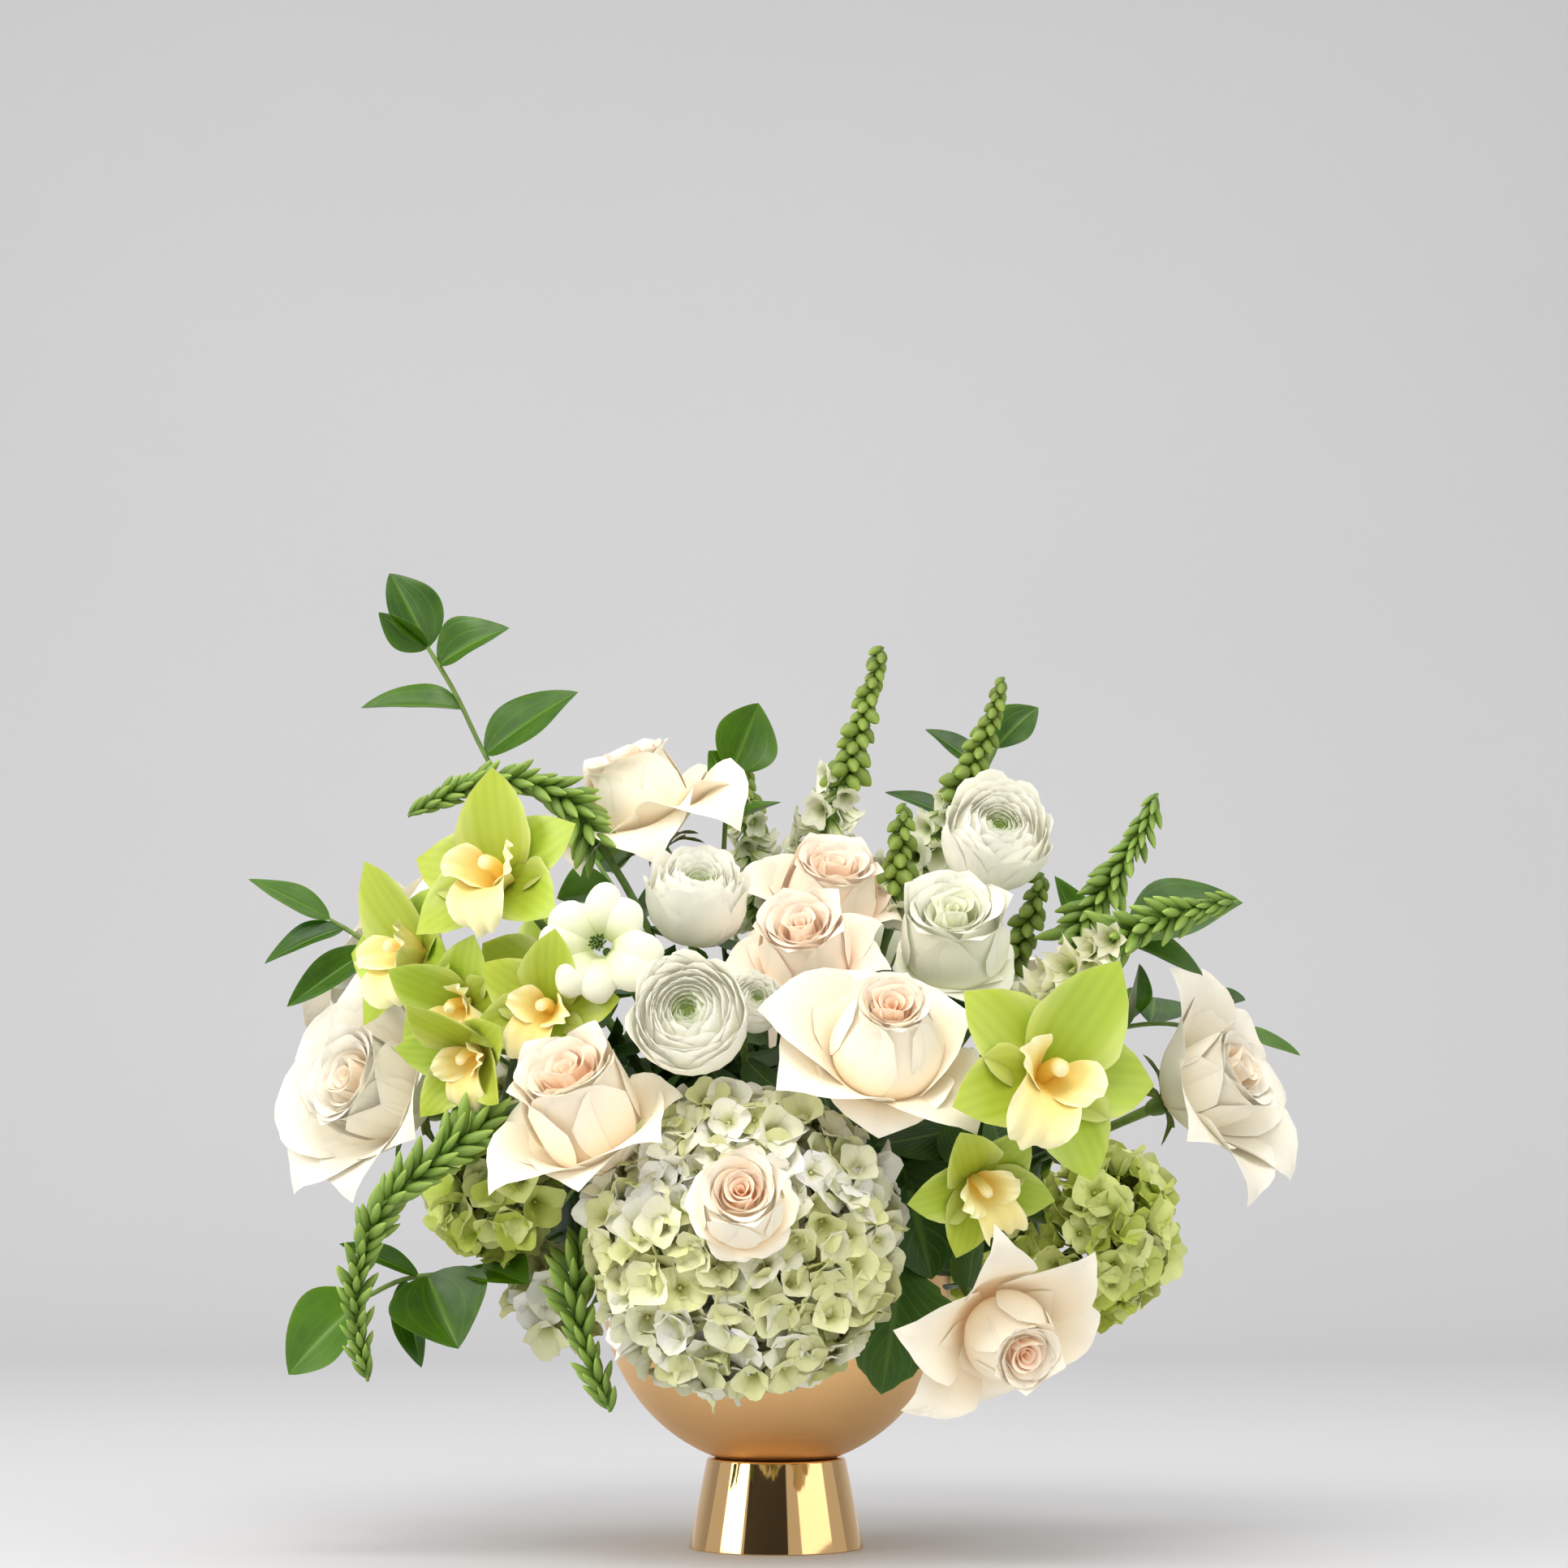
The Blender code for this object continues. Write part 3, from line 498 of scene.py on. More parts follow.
def petal_grid(rng, azimuth, bends, base, reach, top, half_width, curl, widest=0.6, narrow=0.3,
               corner=0.3, point=0.0, swirl=0.0, wave=0.5, frill=0.0, size=PETAL_GRID):
    """Points of a petal in millimetres, across by along, about the flower's +Z axis."""
    fine, radius, height = mid_line(bends, base, reach, top)
    u = np.linspace(-1, 1, size[0])[:, None]
    v = np.linspace(0, 1, size[1])[None, :]
    share = 1 - corner * np.abs(u) ** 2.4 + point * np.exp(-(u / 0.2) ** 2)
    along = v * share / share.max()
    grow = np.sin(np.minimum(along / widest, 1) * pi / 2)
    taper = 1 - 0.2 * np.clip((along - widest) / (1 - widest), 0, 1) ** 2
    width = half_width * (narrow + (1 - narrow) * grow) * taper * u
    bow = np.interp(along, [0, 0.5, 0.85, 1], [1 / c for c in curl])
    phase = rng.uniform(0, 2 * pi, 3)
    ripple = wave * along ** 2 * (np.sin(3.1 * u + phase[0]) + 0.6 * np.sin(7.3 * u + phase[1])
                                  * np.abs(u) + 0.4 * np.sin(9 * along + phase[2]) * u)
    ripple = ripple + frill * along ** 4 * np.sin(11 * u + phase[2])
    side = width * np.sinc(width * bow / pi)
    lift = width ** 2 * bow / 2 * np.sinc(width * bow / 2 / pi) ** 2 + ripple
    mid_r, mid_z = np.interp(along, fine, radius), np.interp(along, fine, height)
    slope_r = np.interp(along, fine, np.gradient(radius))
    slope_z = np.interp(along, fine, np.gradient(height))
    run = np.hypot(slope_r, slope_z)
    out = mid_r - slope_z / run * lift + swirl * u * np.minimum(along * 3, 1)
    up = mid_z + slope_r / run * lift
    x = out * cos(azimuth) - side * sin(azimuth)
    y = out * sin(azimuth) + side * cos(azimuth)
    return np.stack([x, y, up], axis=2)


print("a petal has", 2 * (PETAL_GRID[0] - 1) * (PETAL_GRID[1] - 1), "faces")

# %% [markdown]
# ## A garden rose
#
# A garden rose is built from the inside out: a tight heart of petals rolled round each other, a
# deep cup of a dozen or more that stand upright and close over it a little, a few larger ones with
# rolled lips, and the guard petals, which have already opened and hang outwards. Each next petal
# sits at the golden angle from the last, which is how a rose really grows them.

# %% Rose builder
def rose_heart(flower, rng, radius, height, start, mouth):
    """The rolled heart and the petals of the cup."""
    floor = -0.6 * height
    for i in range(7):
        reach = radius * (0.09 + 0.045 * i)
        flower.sheet(petal_grid(rng, start + GOLDEN_ANGLE * i, [(0, 40), (0.3, 4), (0.84, -4), (1, 70)],
                                (0.4, floor * 0.6), reach, height * (0.41 + 0.006 * i), reach * 2.0,
                                (reach, reach, reach * 0.9, reach), corner=0.12, swirl=reach * 0.25,
                                wave=0.2), 0.35, depth=0.03 * i, chance=rng.random())
    count = 13
    for i in range(count):
        t = i / (count - 1)
        reach = radius * (0.4 + 0.47 * t)
        lip = 62 + 22 * t + rng.uniform(-8, 8)
        top = height * (0.36 + 0.11 * t + rng.uniform(-0.02, 0.02))
        flower.sheet(petal_grid(rng, start + GOLDEN_ANGLE * (i + 7) + rng.uniform(-0.2, 0.2),
                                [(0, 62), (0.18, 42), (0.42, 5), (0.68, -mouth * 0.6),
                                 (0.86, -mouth), (1, lip)],
                                (1.0, floor), reach, top, reach * (1.45 - 0.35 * t),
                                (reach, reach, reach * (1.0 - mouth / 90), reach * 1.1),
                                corner=0.2, swirl=radius * 0.05, wave=0.45),
                     0.4, depth=0.22 + 0.4 * t, chance=rng.random())


def rose_outer_cup(flower, rng, radius, height, start, mouth):
    for i in range(5):
        reach = radius * (0.93 + 0.02 * i)
        flower.sheet(petal_grid(rng, start + FIFTH_OF_A_TURN * i + rng.uniform(-0.15, 0.15),
                                [(0, 66), (0.16, 48), (0.4, 6), (0.66, -mouth * 0.7),
                                 (0.86, -mouth * 0.8), (0.94, 30), (1, 95)],
                                (1.4, -0.62 * height), reach, height * (0.46 + rng.uniform(-0.03, 0.04)),
                                radius * 1.02, (reach, reach, reach * 1.05, reach * 3),
                                corner=0.26, point=0.05, swirl=radius * 0.05, wave=0.5),
                     0.45, depth=0.66 + 0.04 * i, chance=rng.random())


def rose_guards(flower, rng, radius, height, guard, guards, point=0.04):
    """Opened petals. Each is its direction, its reach, how low it hangs and its half-width.

    Directions and hang are in degrees, 0 to the bloom's right and 90 upwards; the reach and the
    half-width are shares of the guard radius.
    """
    for azimuth, reach, hang, width in guards:
        reach, width = reach * guard, width * guard
        flower.sheet(petal_grid(rng, radians(azimuth),
                                [(0, 74), (0.18, 58), (0.42, 34 + hang * 0.5), (0.7, 58 + hang),
                                 (0.88, 92 + hang), (1, 160 + hang)],
                                (1.8, -0.64 * height), reach, None, width,
                                (radius * 1.0, radius * 1.5, radius * 2.2, -radius * 0.42),
                                corner=0.34, point=point, narrow=0.26, wave=1.6),
                     0.5, depth=0.92 + 0.08 * rng.random(), chance=rng.random())


def rose_calyx(flower, rng, radius, height):
    """The green hip and its five narrow sepals, under the bloom."""
    low = -0.68 * height
    flower.rod([(0, 0, low - 12), (0, 0, low - 9), (0, 0, low - 4), (0, 0, low + 1), (0, 0, low + 5)],
               [2.4, 4.2, 5.4, 4.6, 2.0], sides=12, slot=1)
    for i in range(5):
        flower.sheet(petal_grid(rng, i * FIFTH_OF_A_TURN + 0.4, [(0, 60), (0.3, 75), (0.6, 100), (1, 140)],
                                (3.5, low - 1), radius * 1.05, None, 3.6,
                                (8, 10, 20, 40), widest=0.25, narrow=0.7, corner=0.05, point=0.9,
                                wave=0.6, size=(5, 9)), 0.5, depth=1.0, chance=rng.random(), slot=1)


def plain_guards(rng, count=7):
    return [(i * 360 / count + rng.uniform(-14, 14), rng.uniform(0.82, 1.08),
             rng.uniform(-14, 22), rng.uniform(0.5, 0.64)) for i in range(count)]

# %% [markdown]
# ## Stems
#
# Every stem starts behind its bloom, bends as wire-thin wood does, and goes straight into its own
# hole in the foam, aimed at the middle of the bowl. The route is one cubic curve and one straight
# stretch, worked out from the bloom's place and the dome of the foam.

# %% Stem routes
STEM_IN_FOAM, STEM_STRAIGHT = 18, 6
FOAM_DOME_Z, FOAM_DOME_RADIUS, FOAM_DOME_HEIGHT = 140, 80, 52
LOWEST_ENTRY = radians(20)
STEM_AIMS = {   # stems that don't enter straight behind their bloom: where they seem to come from
    "rose_in_hydrangea": (-16, -100, 215),
    "rose_blush_back": (40, -60, 300),
    "snapdragon_tall": (0, 12, 340),
    "orchid_right_low": (120, -90, 205),
    "hydrangea_left": (-100, -50, 205),
    "hydrangea_left_low": (-110, -31, 150),
    "ornithogalum_drooping": (-100, -120, 215),
    "ornithogalum_upright": (154, -60, 300),
}


def unit(vector):
    vector = np.asarray(vector, float)
    return vector / np.linalg.norm(vector)


def foam_mouth(name, base):
    """Where a stem enters the foam, and the way out of its hole."""
    heart = np.array([0.0, 0.0, FOAM_DOME_Z])
    line = np.asarray(STEM_AIMS.get(name, base), float) - heart
    across = np.hypot(line[0], line[1])
    line = unit((line[0], line[1], max(line[2], across * tan(LOWEST_ENTRY))))
    reach = 1 / sqrt((line[0] ** 2 + line[1] ** 2) / FOAM_DOME_RADIUS ** 2
                     + line[2] ** 2 / FOAM_DOME_HEIGHT ** 2)
    return heart + line * reach, line


def stem_route(name, base, backwards, count=16):
    """Points from a bloom's base, leaving it backwards, down to the foot of its hole."""
    mouth, outward = foam_mouth(name, base)
    above = mouth + outward * STEM_STRAIGHT
    pull = np.linalg.norm(base - above) * 0.4
    t = np.linspace(0, 1, count)[:, None]
    curve = (base * (1 - t) ** 3 + (base + backwards * pull) * 3 * (1 - t) ** 2 * t
             + (above + outward * pull) * 3 * (1 - t) * t ** 2 + above * t ** 3)
    return np.vstack([curve, mouth - outward * STEM_IN_FOAM])


def stem_mesh(name, route, radius, swell=1.25):
    """A round stem in place, a little thicker under its bloom."""
    stem = Blossom()
    radii = np.full(len(route), float(radius))
    radii[:3] *= np.linspace(swell, 1, 3)
    stem.rod(route, radii, sides=10, slot=0)
    return stem.mesh(name + "_stem", [STALK])


print("stems enter the foam at", FOAM_DOME_Z, "to", FOAM_DOME_Z + FOAM_DOME_HEIGHT, "mm")

# %% [markdown]
# ## Geometry Nodes that follow a stem
#
# Leaves on a shoot, buds on a flower spike and florets on a stalk are all one rule: walk along the
# stem, and at each step turn by the golden angle and set down a copy that leans away from the stem.
# A node tree says that rule once. Its inputs are how many copies, how they lean and how large they
# are at each end, so the same tree serves leaves and buds alike.

# %% The tree that sets copies along a stem
def new_geometry_tree(name, inputs):
    """A geometry tree with named inputs: a list of (name, socket type, default)."""
    tree = bpy.data.node_groups.new(name, "GeometryNodeTree")
    tree.is_modifier = True
    tree.interface.new_socket("Geometry", in_out="INPUT", socket_type="NodeSocketGeometry")
    tree.interface.new_socket("Geometry", in_out="OUTPUT", socket_type="NodeSocketGeometry")
    for label, kind, default in inputs:
        socket = tree.interface.new_socket(label, in_out="INPUT", socket_type=kind)
        if default is not None:
            socket.default_value = default
    return tree, tree.nodes.new("NodeGroupInput").outputs, tree.nodes.new("NodeGroupOutput")


def stored(tree, instances, name, value):
    """Keeps a number on each copy for its material to read."""
    return node(tree, "GeometryNodeStoreNamedAttribute", {"Geometry": instances, "Name": name,
                                                          "Value": value},
                data_type="FLOAT", domain="INSTANCE").outputs["Geometry"]


def end_tree(tree, instances, material, output):
    """Stores one random number for each copy, makes the copies real and sets their material."""
    number = node(tree, "FunctionNodeRandomValue", {"Seed": 7}, data_type="FLOAT").outputs[1]
    named = stored(tree, instances, "floret", number)
    real = node(tree, "GeometryNodeRealizeInstances", {"Geometry": named})
    dressed = node(tree, "GeometryNodeSetMaterial", {"Geometry": real.outputs["Geometry"],
                                                     "Material": material})
    tree.links.new(dressed.outputs["Geometry"], output.inputs["Geometry"])


def unevenness(tree, given):
    """A number for each copy, either side of nothing by as much as the Unevenness input says."""
    roll = node(tree, "FunctionNodeRandomValue", {"Seed": given["Seed"]}, data_type="FLOAT")
    fill(tree, roll.inputs, {2: -1.0, 3: 1.0})
    return maths(tree, "MULTIPLY", roll.outputs[1], given["Unevenness"])


def about(tree, axis, angle):
    return node(tree, "FunctionNodeAxisAngleToRotation", {"Axis": axis, "Angle": angle}).outputs[0]


def turned_by(tree, rotation, turn):
    return node(tree, "FunctionNodeRotateRotation", {"Rotation": rotation, "Rotate By": turn},
                rotation_space="LOCAL").outputs[0]


def copies_on(tree, given, shapes, points, rotation, scale):
    """Sets one of a collection's shapes, picked by chance, on each point."""
    stock = node(tree, "GeometryNodeCollectionInfo", {
        "Collection": given[shapes], "Separate Children": True, "Reset Children": True})
    pick = node(tree, "FunctionNodeRandomValue", {"Seed": given["Seed"]}, data_type="INT")
    return node(tree, "GeometryNodeInstanceOnPoints", {
        "Points": points, "Instance": stock.outputs[0], "Pick Instance": True,
        "Instance Index": pick.outputs[2], "Rotation": rotation, "Scale": scale}).outputs[0]


def along_stem_tree():
    tree, given, output = new_geometry_tree("copies_along_stem", [
        ("Copy", "NodeSocketCollection", None), ("Count", "NodeSocketInt", 12),
        ("Turn", "NodeSocketFloat", GOLDEN_ANGLE), ("Lean at tip", "NodeSocketFloat", 0.4),
        ("Lean at foot", "NodeSocketFloat", 0.9), ("Size at tip", "NodeSocketFloat", 0.5),
        ("Size at foot", "NodeSocketFloat", 1.0), ("Unevenness", "NodeSocketFloat", 0.15),
        ("Seed", "NodeSocketInt", 1), ("Material", "NodeSocketMaterial", None)])
    curve = node(tree, "GeometryNodeMeshToCurve", {"Mesh": given["Geometry"]})
    points = node(tree, "GeometryNodeCurveToPoints", {"Curve": curve.outputs["Curve"],
                                                      "Count": given["Count"]}, mode="COUNT")
    index = node(tree, "GeometryNodeInputIndex").outputs[0]
    steps = maths(tree, "MAXIMUM", maths(tree, "SUBTRACT", given["Count"], 1.0), 1.0)
    share = maths(tree, "DIVIDE", index, steps)
    uneven = unevenness(tree, given)
    spin = about(tree, (0, 0, 1), maths(tree, "MULTIPLY_ADD", index, given["Turn"], uneven))
    angle = between(tree, share, 0, 1, given["Lean at tip"], given["Lean at foot"])
    lean = about(tree, (1, 0, 0), maths(tree, "ADD", angle, uneven))
    rotation = turned_by(tree, turned_by(tree, points.outputs["Rotation"], spin), lean)
    size = between(tree, share, 0, 1, given["Size at tip"], given["Size at foot"])
    scale = maths(tree, "MULTIPLY", size, maths(tree, "ADD", uneven, 1.0))
    placed = copies_on(tree, given, "Copy", points.outputs["Points"], rotation, scale)
    end_tree(tree, placed, given["Material"], output)
    return tree


def copies_of(name, meshes):
    """A collection outside the scene that holds the shapes which a tree copies."""
    made = bpy.data.collections.new(name)
    for i, mesh in enumerate(meshes):
        made.objects.link(bpy.data.objects.new(f"{name}_{i}", mesh))
    return made


def grown(name, mesh, tree, **values):
    """Runs a tree on a mesh with its inputs set by name, and returns the plain mesh it makes."""
    thing = bpy.data.objects.new(name, mesh)
    scene.collection.objects.link(thing)
    modifier = thing.modifiers.new("grow", "NODES")
    modifier.node_group = tree
    sockets = {item.name: item.identifier for item in tree.interface.items_tree
               if item.in_out == "INPUT"}
    for label, value in values.items():
        modifier[sockets[label.replace("_", " ")]] = value
    bpy.context.view_layer.update()
    evaluated = thing.evaluated_get(bpy.context.evaluated_depsgraph_get())
    result = bpy.data.meshes.new_from_object(evaluated)
    thing.modifiers.remove(modifier)
    bpy.data.objects.remove(thing)
    return result


def path_mesh(name, points):
    """A line of edges in metres for a tree to follow."""
    mesh = bpy.data.meshes.new(name)
    mesh.from_pydata((np.asarray(points) * MM).tolist(), [(i, i + 1) for i in range(len(points) - 1)],
                     [])
    return mesh


ALONG_STEM = along_stem_tree()
print(ALONG_STEM.name, "has", len(ALONG_STEM.nodes), "nodes")

# %% [markdown]
# ## Leaves
#
# The blooms stand in a bed of leaves that hides the foam. A leaf is a blade folded a little along
# its midrib and arched towards its tip, glossy and dark above and dull and pale beneath. Its veins
# leave the midrib at a slant, so the material draws them from the numbers across and along.

# %% Leaf shape and finish
def blade_grid(length, width, fold=0.16, arch=0.25, twist=0.0, wave=0.0, widest=0.42, size=(9, 12),
               serration=0.0, phase=0.0):
    """A pointed oval blade along +Z from its base, whose upper side looks along +Y."""
    u = np.linspace(-1, 1, size[0])[:, None]
    v = np.linspace(0, 1, size[1])[None, :]
    power = np.log(0.5) / np.log(widest)
    half = width / 2 * (np.sin(pi * v ** power) ** 0.85 * (1 - 0.06 * v) + 0.035 * (1 - v))
    half = half * (1 + serration * (np.arange(size[1])[None, :] % 2) * np.abs(u) ** 6)
    across = u * half
    lift = np.abs(across) * fold * 2 + wave * half * np.sin(8 * v + phase) * u ** 2
    lift = lift + twist * across * v
    bend = arch * length * v ** 2 / 2
    return np.stack([across, lift - bend, length * v * (1 - arch * v * 0.12) + 0 * u], axis=2)


def leaf_finish(name, top, top_dark, rib, under, slant=0.55, count=9.0, gloss=0.33, parallel=False):
    """Leaf skin: veins that slant off the midrib or run beside it, and a duller underside."""
    made, tree, shader = new_material(name)
    petal = petal_numbers(tree)
    side = maths(tree, "ABSOLUTE", petal.across)
    if parallel:
        wave = maths(tree, "SINE", maths(tree, "MULTIPLY", petal.across, 17.0))
    else:
        slope = maths(tree, "MULTIPLY_ADD", side, -slant, petal.along)
        wave = maths(tree, "SINE", maths(tree, "MULTIPLY", slope, count * 2 * pi))
    vein = maths(tree, "MULTIPLY", between(tree, wave, 0.72, 1.0), 0.2 if parallel else 0.4)
    midrib = maths(tree, "MULTIPLY", between(tree, side, 0.09, 0.02), 0.8)
    lines = maths(tree, "MAXIMUM", vein, midrib)
    mottle = noise(tree, object_place(tree), 55.0, 5.0, 0.6)
    age = between(tree, maths(tree, "MULTIPLY_ADD", petal.chance, 0.5, mottle), 0.4, 1.1)
    face = mixed(tree, lines, mixed(tree, age, top, top_dark), rib)
    height = maths(tree, "MULTIPLY_ADD", lines, -1.0, maths(tree, "MULTIPLY", mottle, 0.3))
    dress(tree, shader, height, 0.35, 0.0006,
          Base_Color=mixed(tree, between(tree, petal.depth, 0.4, 0.6), face, under),
          Roughness=between(tree, mottle, 0.3, 0.7, gloss - 0.05, gloss + 0.1),
          Specular_IOR_Level=0.4, Subsurface_Weight=0.12, Subsurface_Radius=(0.5, 1.0, 0.2),
          Subsurface_Scale=0.002)
    return made


ROSE_LEAF = leaf_finish("rose_leaf", linear(62, 98, 24), linear(30, 60, 14), linear(88, 120, 44),
                        linear(104, 134, 84), gloss=0.42)
HYDRANGEA_LEAF = leaf_finish("hydrangea_leaf", linear(66, 104, 26), linear(36, 72, 16),
                             linear(90, 126, 46), linear(112, 138, 92), count=8.0, slant=0.5,
                             gloss=0.45)
RUSCUS_LEAF = leaf_finish("ruscus_leaf", linear(78, 120, 10), linear(34, 72, 4),
                          linear(94, 134, 26), linear(112, 146, 70), parallel=True, gloss=0.36)


def leaf_mesh(name, length, width, material, chance=0.5, **shape):
    leaf = Blossom()
    leaf.sheet(blade_grid(length, width, **shape), 0.35, chance=chance)
    return leaf.mesh(name, [material])


BED_LEAVES = copies_of("bed_leaf", [
    leaf_mesh("bed_leaf_0", 46, 25, ROSE_LEAF, 0.2, size=(5, 8), arch=0.4, fold=0.2),
    leaf_mesh("bed_leaf_1", 38, 22, ROSE_LEAF, 0.7, size=(5, 8), arch=0.7, fold=0.14, wave=0.2),
    leaf_mesh("bed_leaf_2", 52, 24, ROSE_LEAF, 0.9, size=(5, 8), arch=0.2, fold=0.24, twist=0.3)])


def bed_leaves(name, route, count, first=0.2, last=0.92, lean=(0.9, 1.3), size=(0.9, 1.45)):
    """Leaves up a stem, between two shares of its way down to the foam."""
    start, stop = int(first * len(route)), max(int(last * len(route)), int(first * len(route)) + 2)
    seed = seed_of(name, 10000)
    return grown(name + "_leaves", path_mesh(name + "_path", route[start:stop]), ALONG_STEM,
                 Copy=BED_LEAVES, Count=count, Lean_at_tip=lean[0], Lean_at_foot=lean[1],
                 Size_at_tip=size[0], Size_at_foot=size[1], Unevenness=0.25, Seed=seed,
                 Material=ROSE_LEAF)


# %% [markdown]
# ## The roses
#
# Twelve roses carry the piece. The table gives each its middle, the way it faces, the radius and
# height of its cup, and the reach of its guard petals. `mouth` is how far the cup closes over its
# heart, in degrees. Where guard petals make a rose what it is, they are listed one by one: the way
# each points, its reach, how far it hangs and its width.

# %% Roses
ROSES = {
    "rose_crown": dict(at=(-72, -20, 387), faces=(-0.35, -0.25, 0.9), cup=(27, 47), guard=49,
                       mouth=14, finish=ROSE_IVORY),
    "rose_blush_back": dict(at=(28, -52, 334), faces=(0.15, -0.6, 0.8), cup=(26, 42), guard=36,
                            mouth=14, finish=ROSE_BLUSH),
    "rose_blush_middle": dict(at=(14, -104, 302), faces=(-0.1, -0.75, 0.65), cup=(25, 44), guard=33,
                              mouth=12, finish=ROSE_BLUSH),
    "rose_front_large": dict(at=(54, -158, 257), faces=(0.08, -0.76, 0.64), cup=(28, 54), guard=60,
                             mouth=34, finish=ROSE_IVORY),
    "rose_far_left": dict(at=(-204, -45, 234), faces=(-0.7, -0.65, 0.3), cup=(30, 50), guard=57,
                          mouth=-8, finish=ROSE_WHITE),
    "rose_middle_left": dict(at=(-93, -148, 224), faces=(-0.32, -0.6, 0.73), cup=(30, 58), guard=43,
                             mouth=8, finish=ROSE_IVORY),
    "rose_in_hydrangea": dict(at=(-16, -194, 178), faces=(0.0, -0.93, 0.36), cup=(22, 42), guard=27,
                              mouth=12, finish=ROSE_IVORY),
    "rose_low_right": dict(at=(114, -128, 110), faces=(0.3, -0.85, -0.3), cup=(22, 46), guard=52,
                           mouth=26, finish=ROSE_IVORY),
    "rose_far_right": dict(at=(224, -34, 238), faces=(0.75, -0.55, 0.35), cup=(26, 46), guard=54,
                           mouth=2, finish=ROSE_WHITE),
    "rose_rear_left": dict(at=(-205, 40, 306), faces=(-0.8, 0.1, 0.6), cup=(26, 44), guard=66,
                           mouth=14, finish=ROSE_WHITE),
    "rose_rear_right": dict(at=(150, 105, 275), faces=(0.7, 0.6, 0.4), cup=(27, 48), guard=50,
                            mouth=16, finish=ROSE_IVORY),
    "rose_rear_middle": dict(at=(-24, 168, 240), faces=(-0.05, 0.92, 0.38), cup=(30, 52), guard=58,
                             mouth=20, finish=ROSE_BLUSH),
}
ROSE_LEAF_COUNTS = {"rose_in_hydrangea": 2}
ROSE_GUARDS = {   # guard petals one by one: direction, reach, hang, half-width
    "rose_blush_back": [(184, 1.5, -2, 0.72), (140, 1.2, -8, 0.6), (232, 1.2, 2, 0.62),
                        (286, 1.0, 6, 0.56), (336, 1.1, 0, 0.6), (28, 1.2, -8, 0.62),
                        (84, 1.0, -12, 0.56)],
    "rose_blush_middle": [(196, 1.3, 0, 0.68), (344, 1.35, -4, 0.66), (26, 1.25, -10, 0.6),
                          (150, 1.1, -8, 0.6), (246, 1.1, 4, 0.6), (296, 1.1, 4, 0.58),
                          (88, 1.0, -12, 0.56)],
    "rose_front_large": [(166, 1.08, -4, 0.6), (206, 1.0, 8, 0.66), (262, 0.78, 24, 0.62),
                         (312, 1.0, 26, 0.5), (14, 0.72, -30, 0.64), (70, 0.8, -8, 0.55),
                         (120, 0.85, -8, 0.5)],
    "rose_low_right": [(112, 1.42, -18, 0.38), (172, 1.28, -4, 0.5), (212, 1.2, 2, 0.42),
                       (56, 1.16, -14, 0.42), (12, 0.98, 4, 0.42), (262, 0.7, 16, 0.4)],
    "rose_crown": [(54, 1.1, 46, 0.7), (8, 1.3, 52, 0.72), (324, 1.2, 50, 0.66), (276, 1.1, 40, 0.6),
                   (232, 1.2, 32, 0.64), (172, 1.1, 24, 0.6), (112, 1.0, 18, 0.6)],
    "rose_middle_left": [(194, 1.2, 6, 0.72), (238, 1.42, 6, 0.76), (286, 1.15, 0, 0.7),
                         (338, 1.25, -6, 0.72), (22, 1.1, -4, 0.66), (90, 0.9, 0, 0.6),
                         (142, 1.0, 0, 0.6)],
    "rose_far_left": [(150, 1.15, -14, 0.62), (196, 1.22, -8, 0.66), (238, 1.2, -4, 0.66),
                      (282, 1.1, -6, 0.6), (330, 1.0, -10, 0.6), (20, 0.95, -14, 0.56),
                      (62, 1.0, -18, 0.56), (106, 1.12, -16, 0.6)],
    "rose_far_right": [(122, 1.2, -14, 0.58), (214, 1.1, 0, 0.56), (256, 1.34, 4, 0.56),
                       (302, 1.26, 0, 0.58), (350, 1.05, -10, 0.56), (40, 1.0, -16, 0.56),
                       (84, 1.1, -16, 0.5)],
}


def build_rose(name, at, faces, cup, guard, mouth, finish):
    rng = dice(name)
    radius, height = cup
    start = rng.uniform(0, 2 * pi)
    flower = Blossom()
    rose_heart(flower, rng, radius, height, start, mouth)
    rose_outer_cup(flower, rng, radius, height, start + 1, mouth)
    guards = ROSE_GUARDS.get(name) or plain_guards(rng)
    rose_guards(flower, rng, radius, height, guard, guards, 0.14 if name in ROSE_GUARDS else 0.0)
    rose_calyx(flower, rng, radius, height)
    bloom = flower.mesh(name, [finish, STALK], facing(at, faces))
    base = np.array(at) - unit(faces) * (0.68 * height + 8)
    route = stem_route(name, base, -unit(faces))
    leaves = bed_leaves(name, route, ROSE_LEAF_COUNTS.get(name, 12))
    mesh = joined(name, [bloom, stem_mesh(name, route, 2.4), leaves])
    return show("garden_" + name, mesh, name)


make_each(build_rose, ROSES)

# %% [markdown]
# ## Ranunculus
#
# A ranunculus is a ball of very many thin, nearly round petals, each a little larger than the one
# inside it, so from the front it shows ring upon ring of fine edges round a green heart. That is a
# rule and not a set of single petals, so one cupped petal and a node tree make it: the tree turns
# each copy by the golden angle, makes it larger, and lets the outer ones lean out.

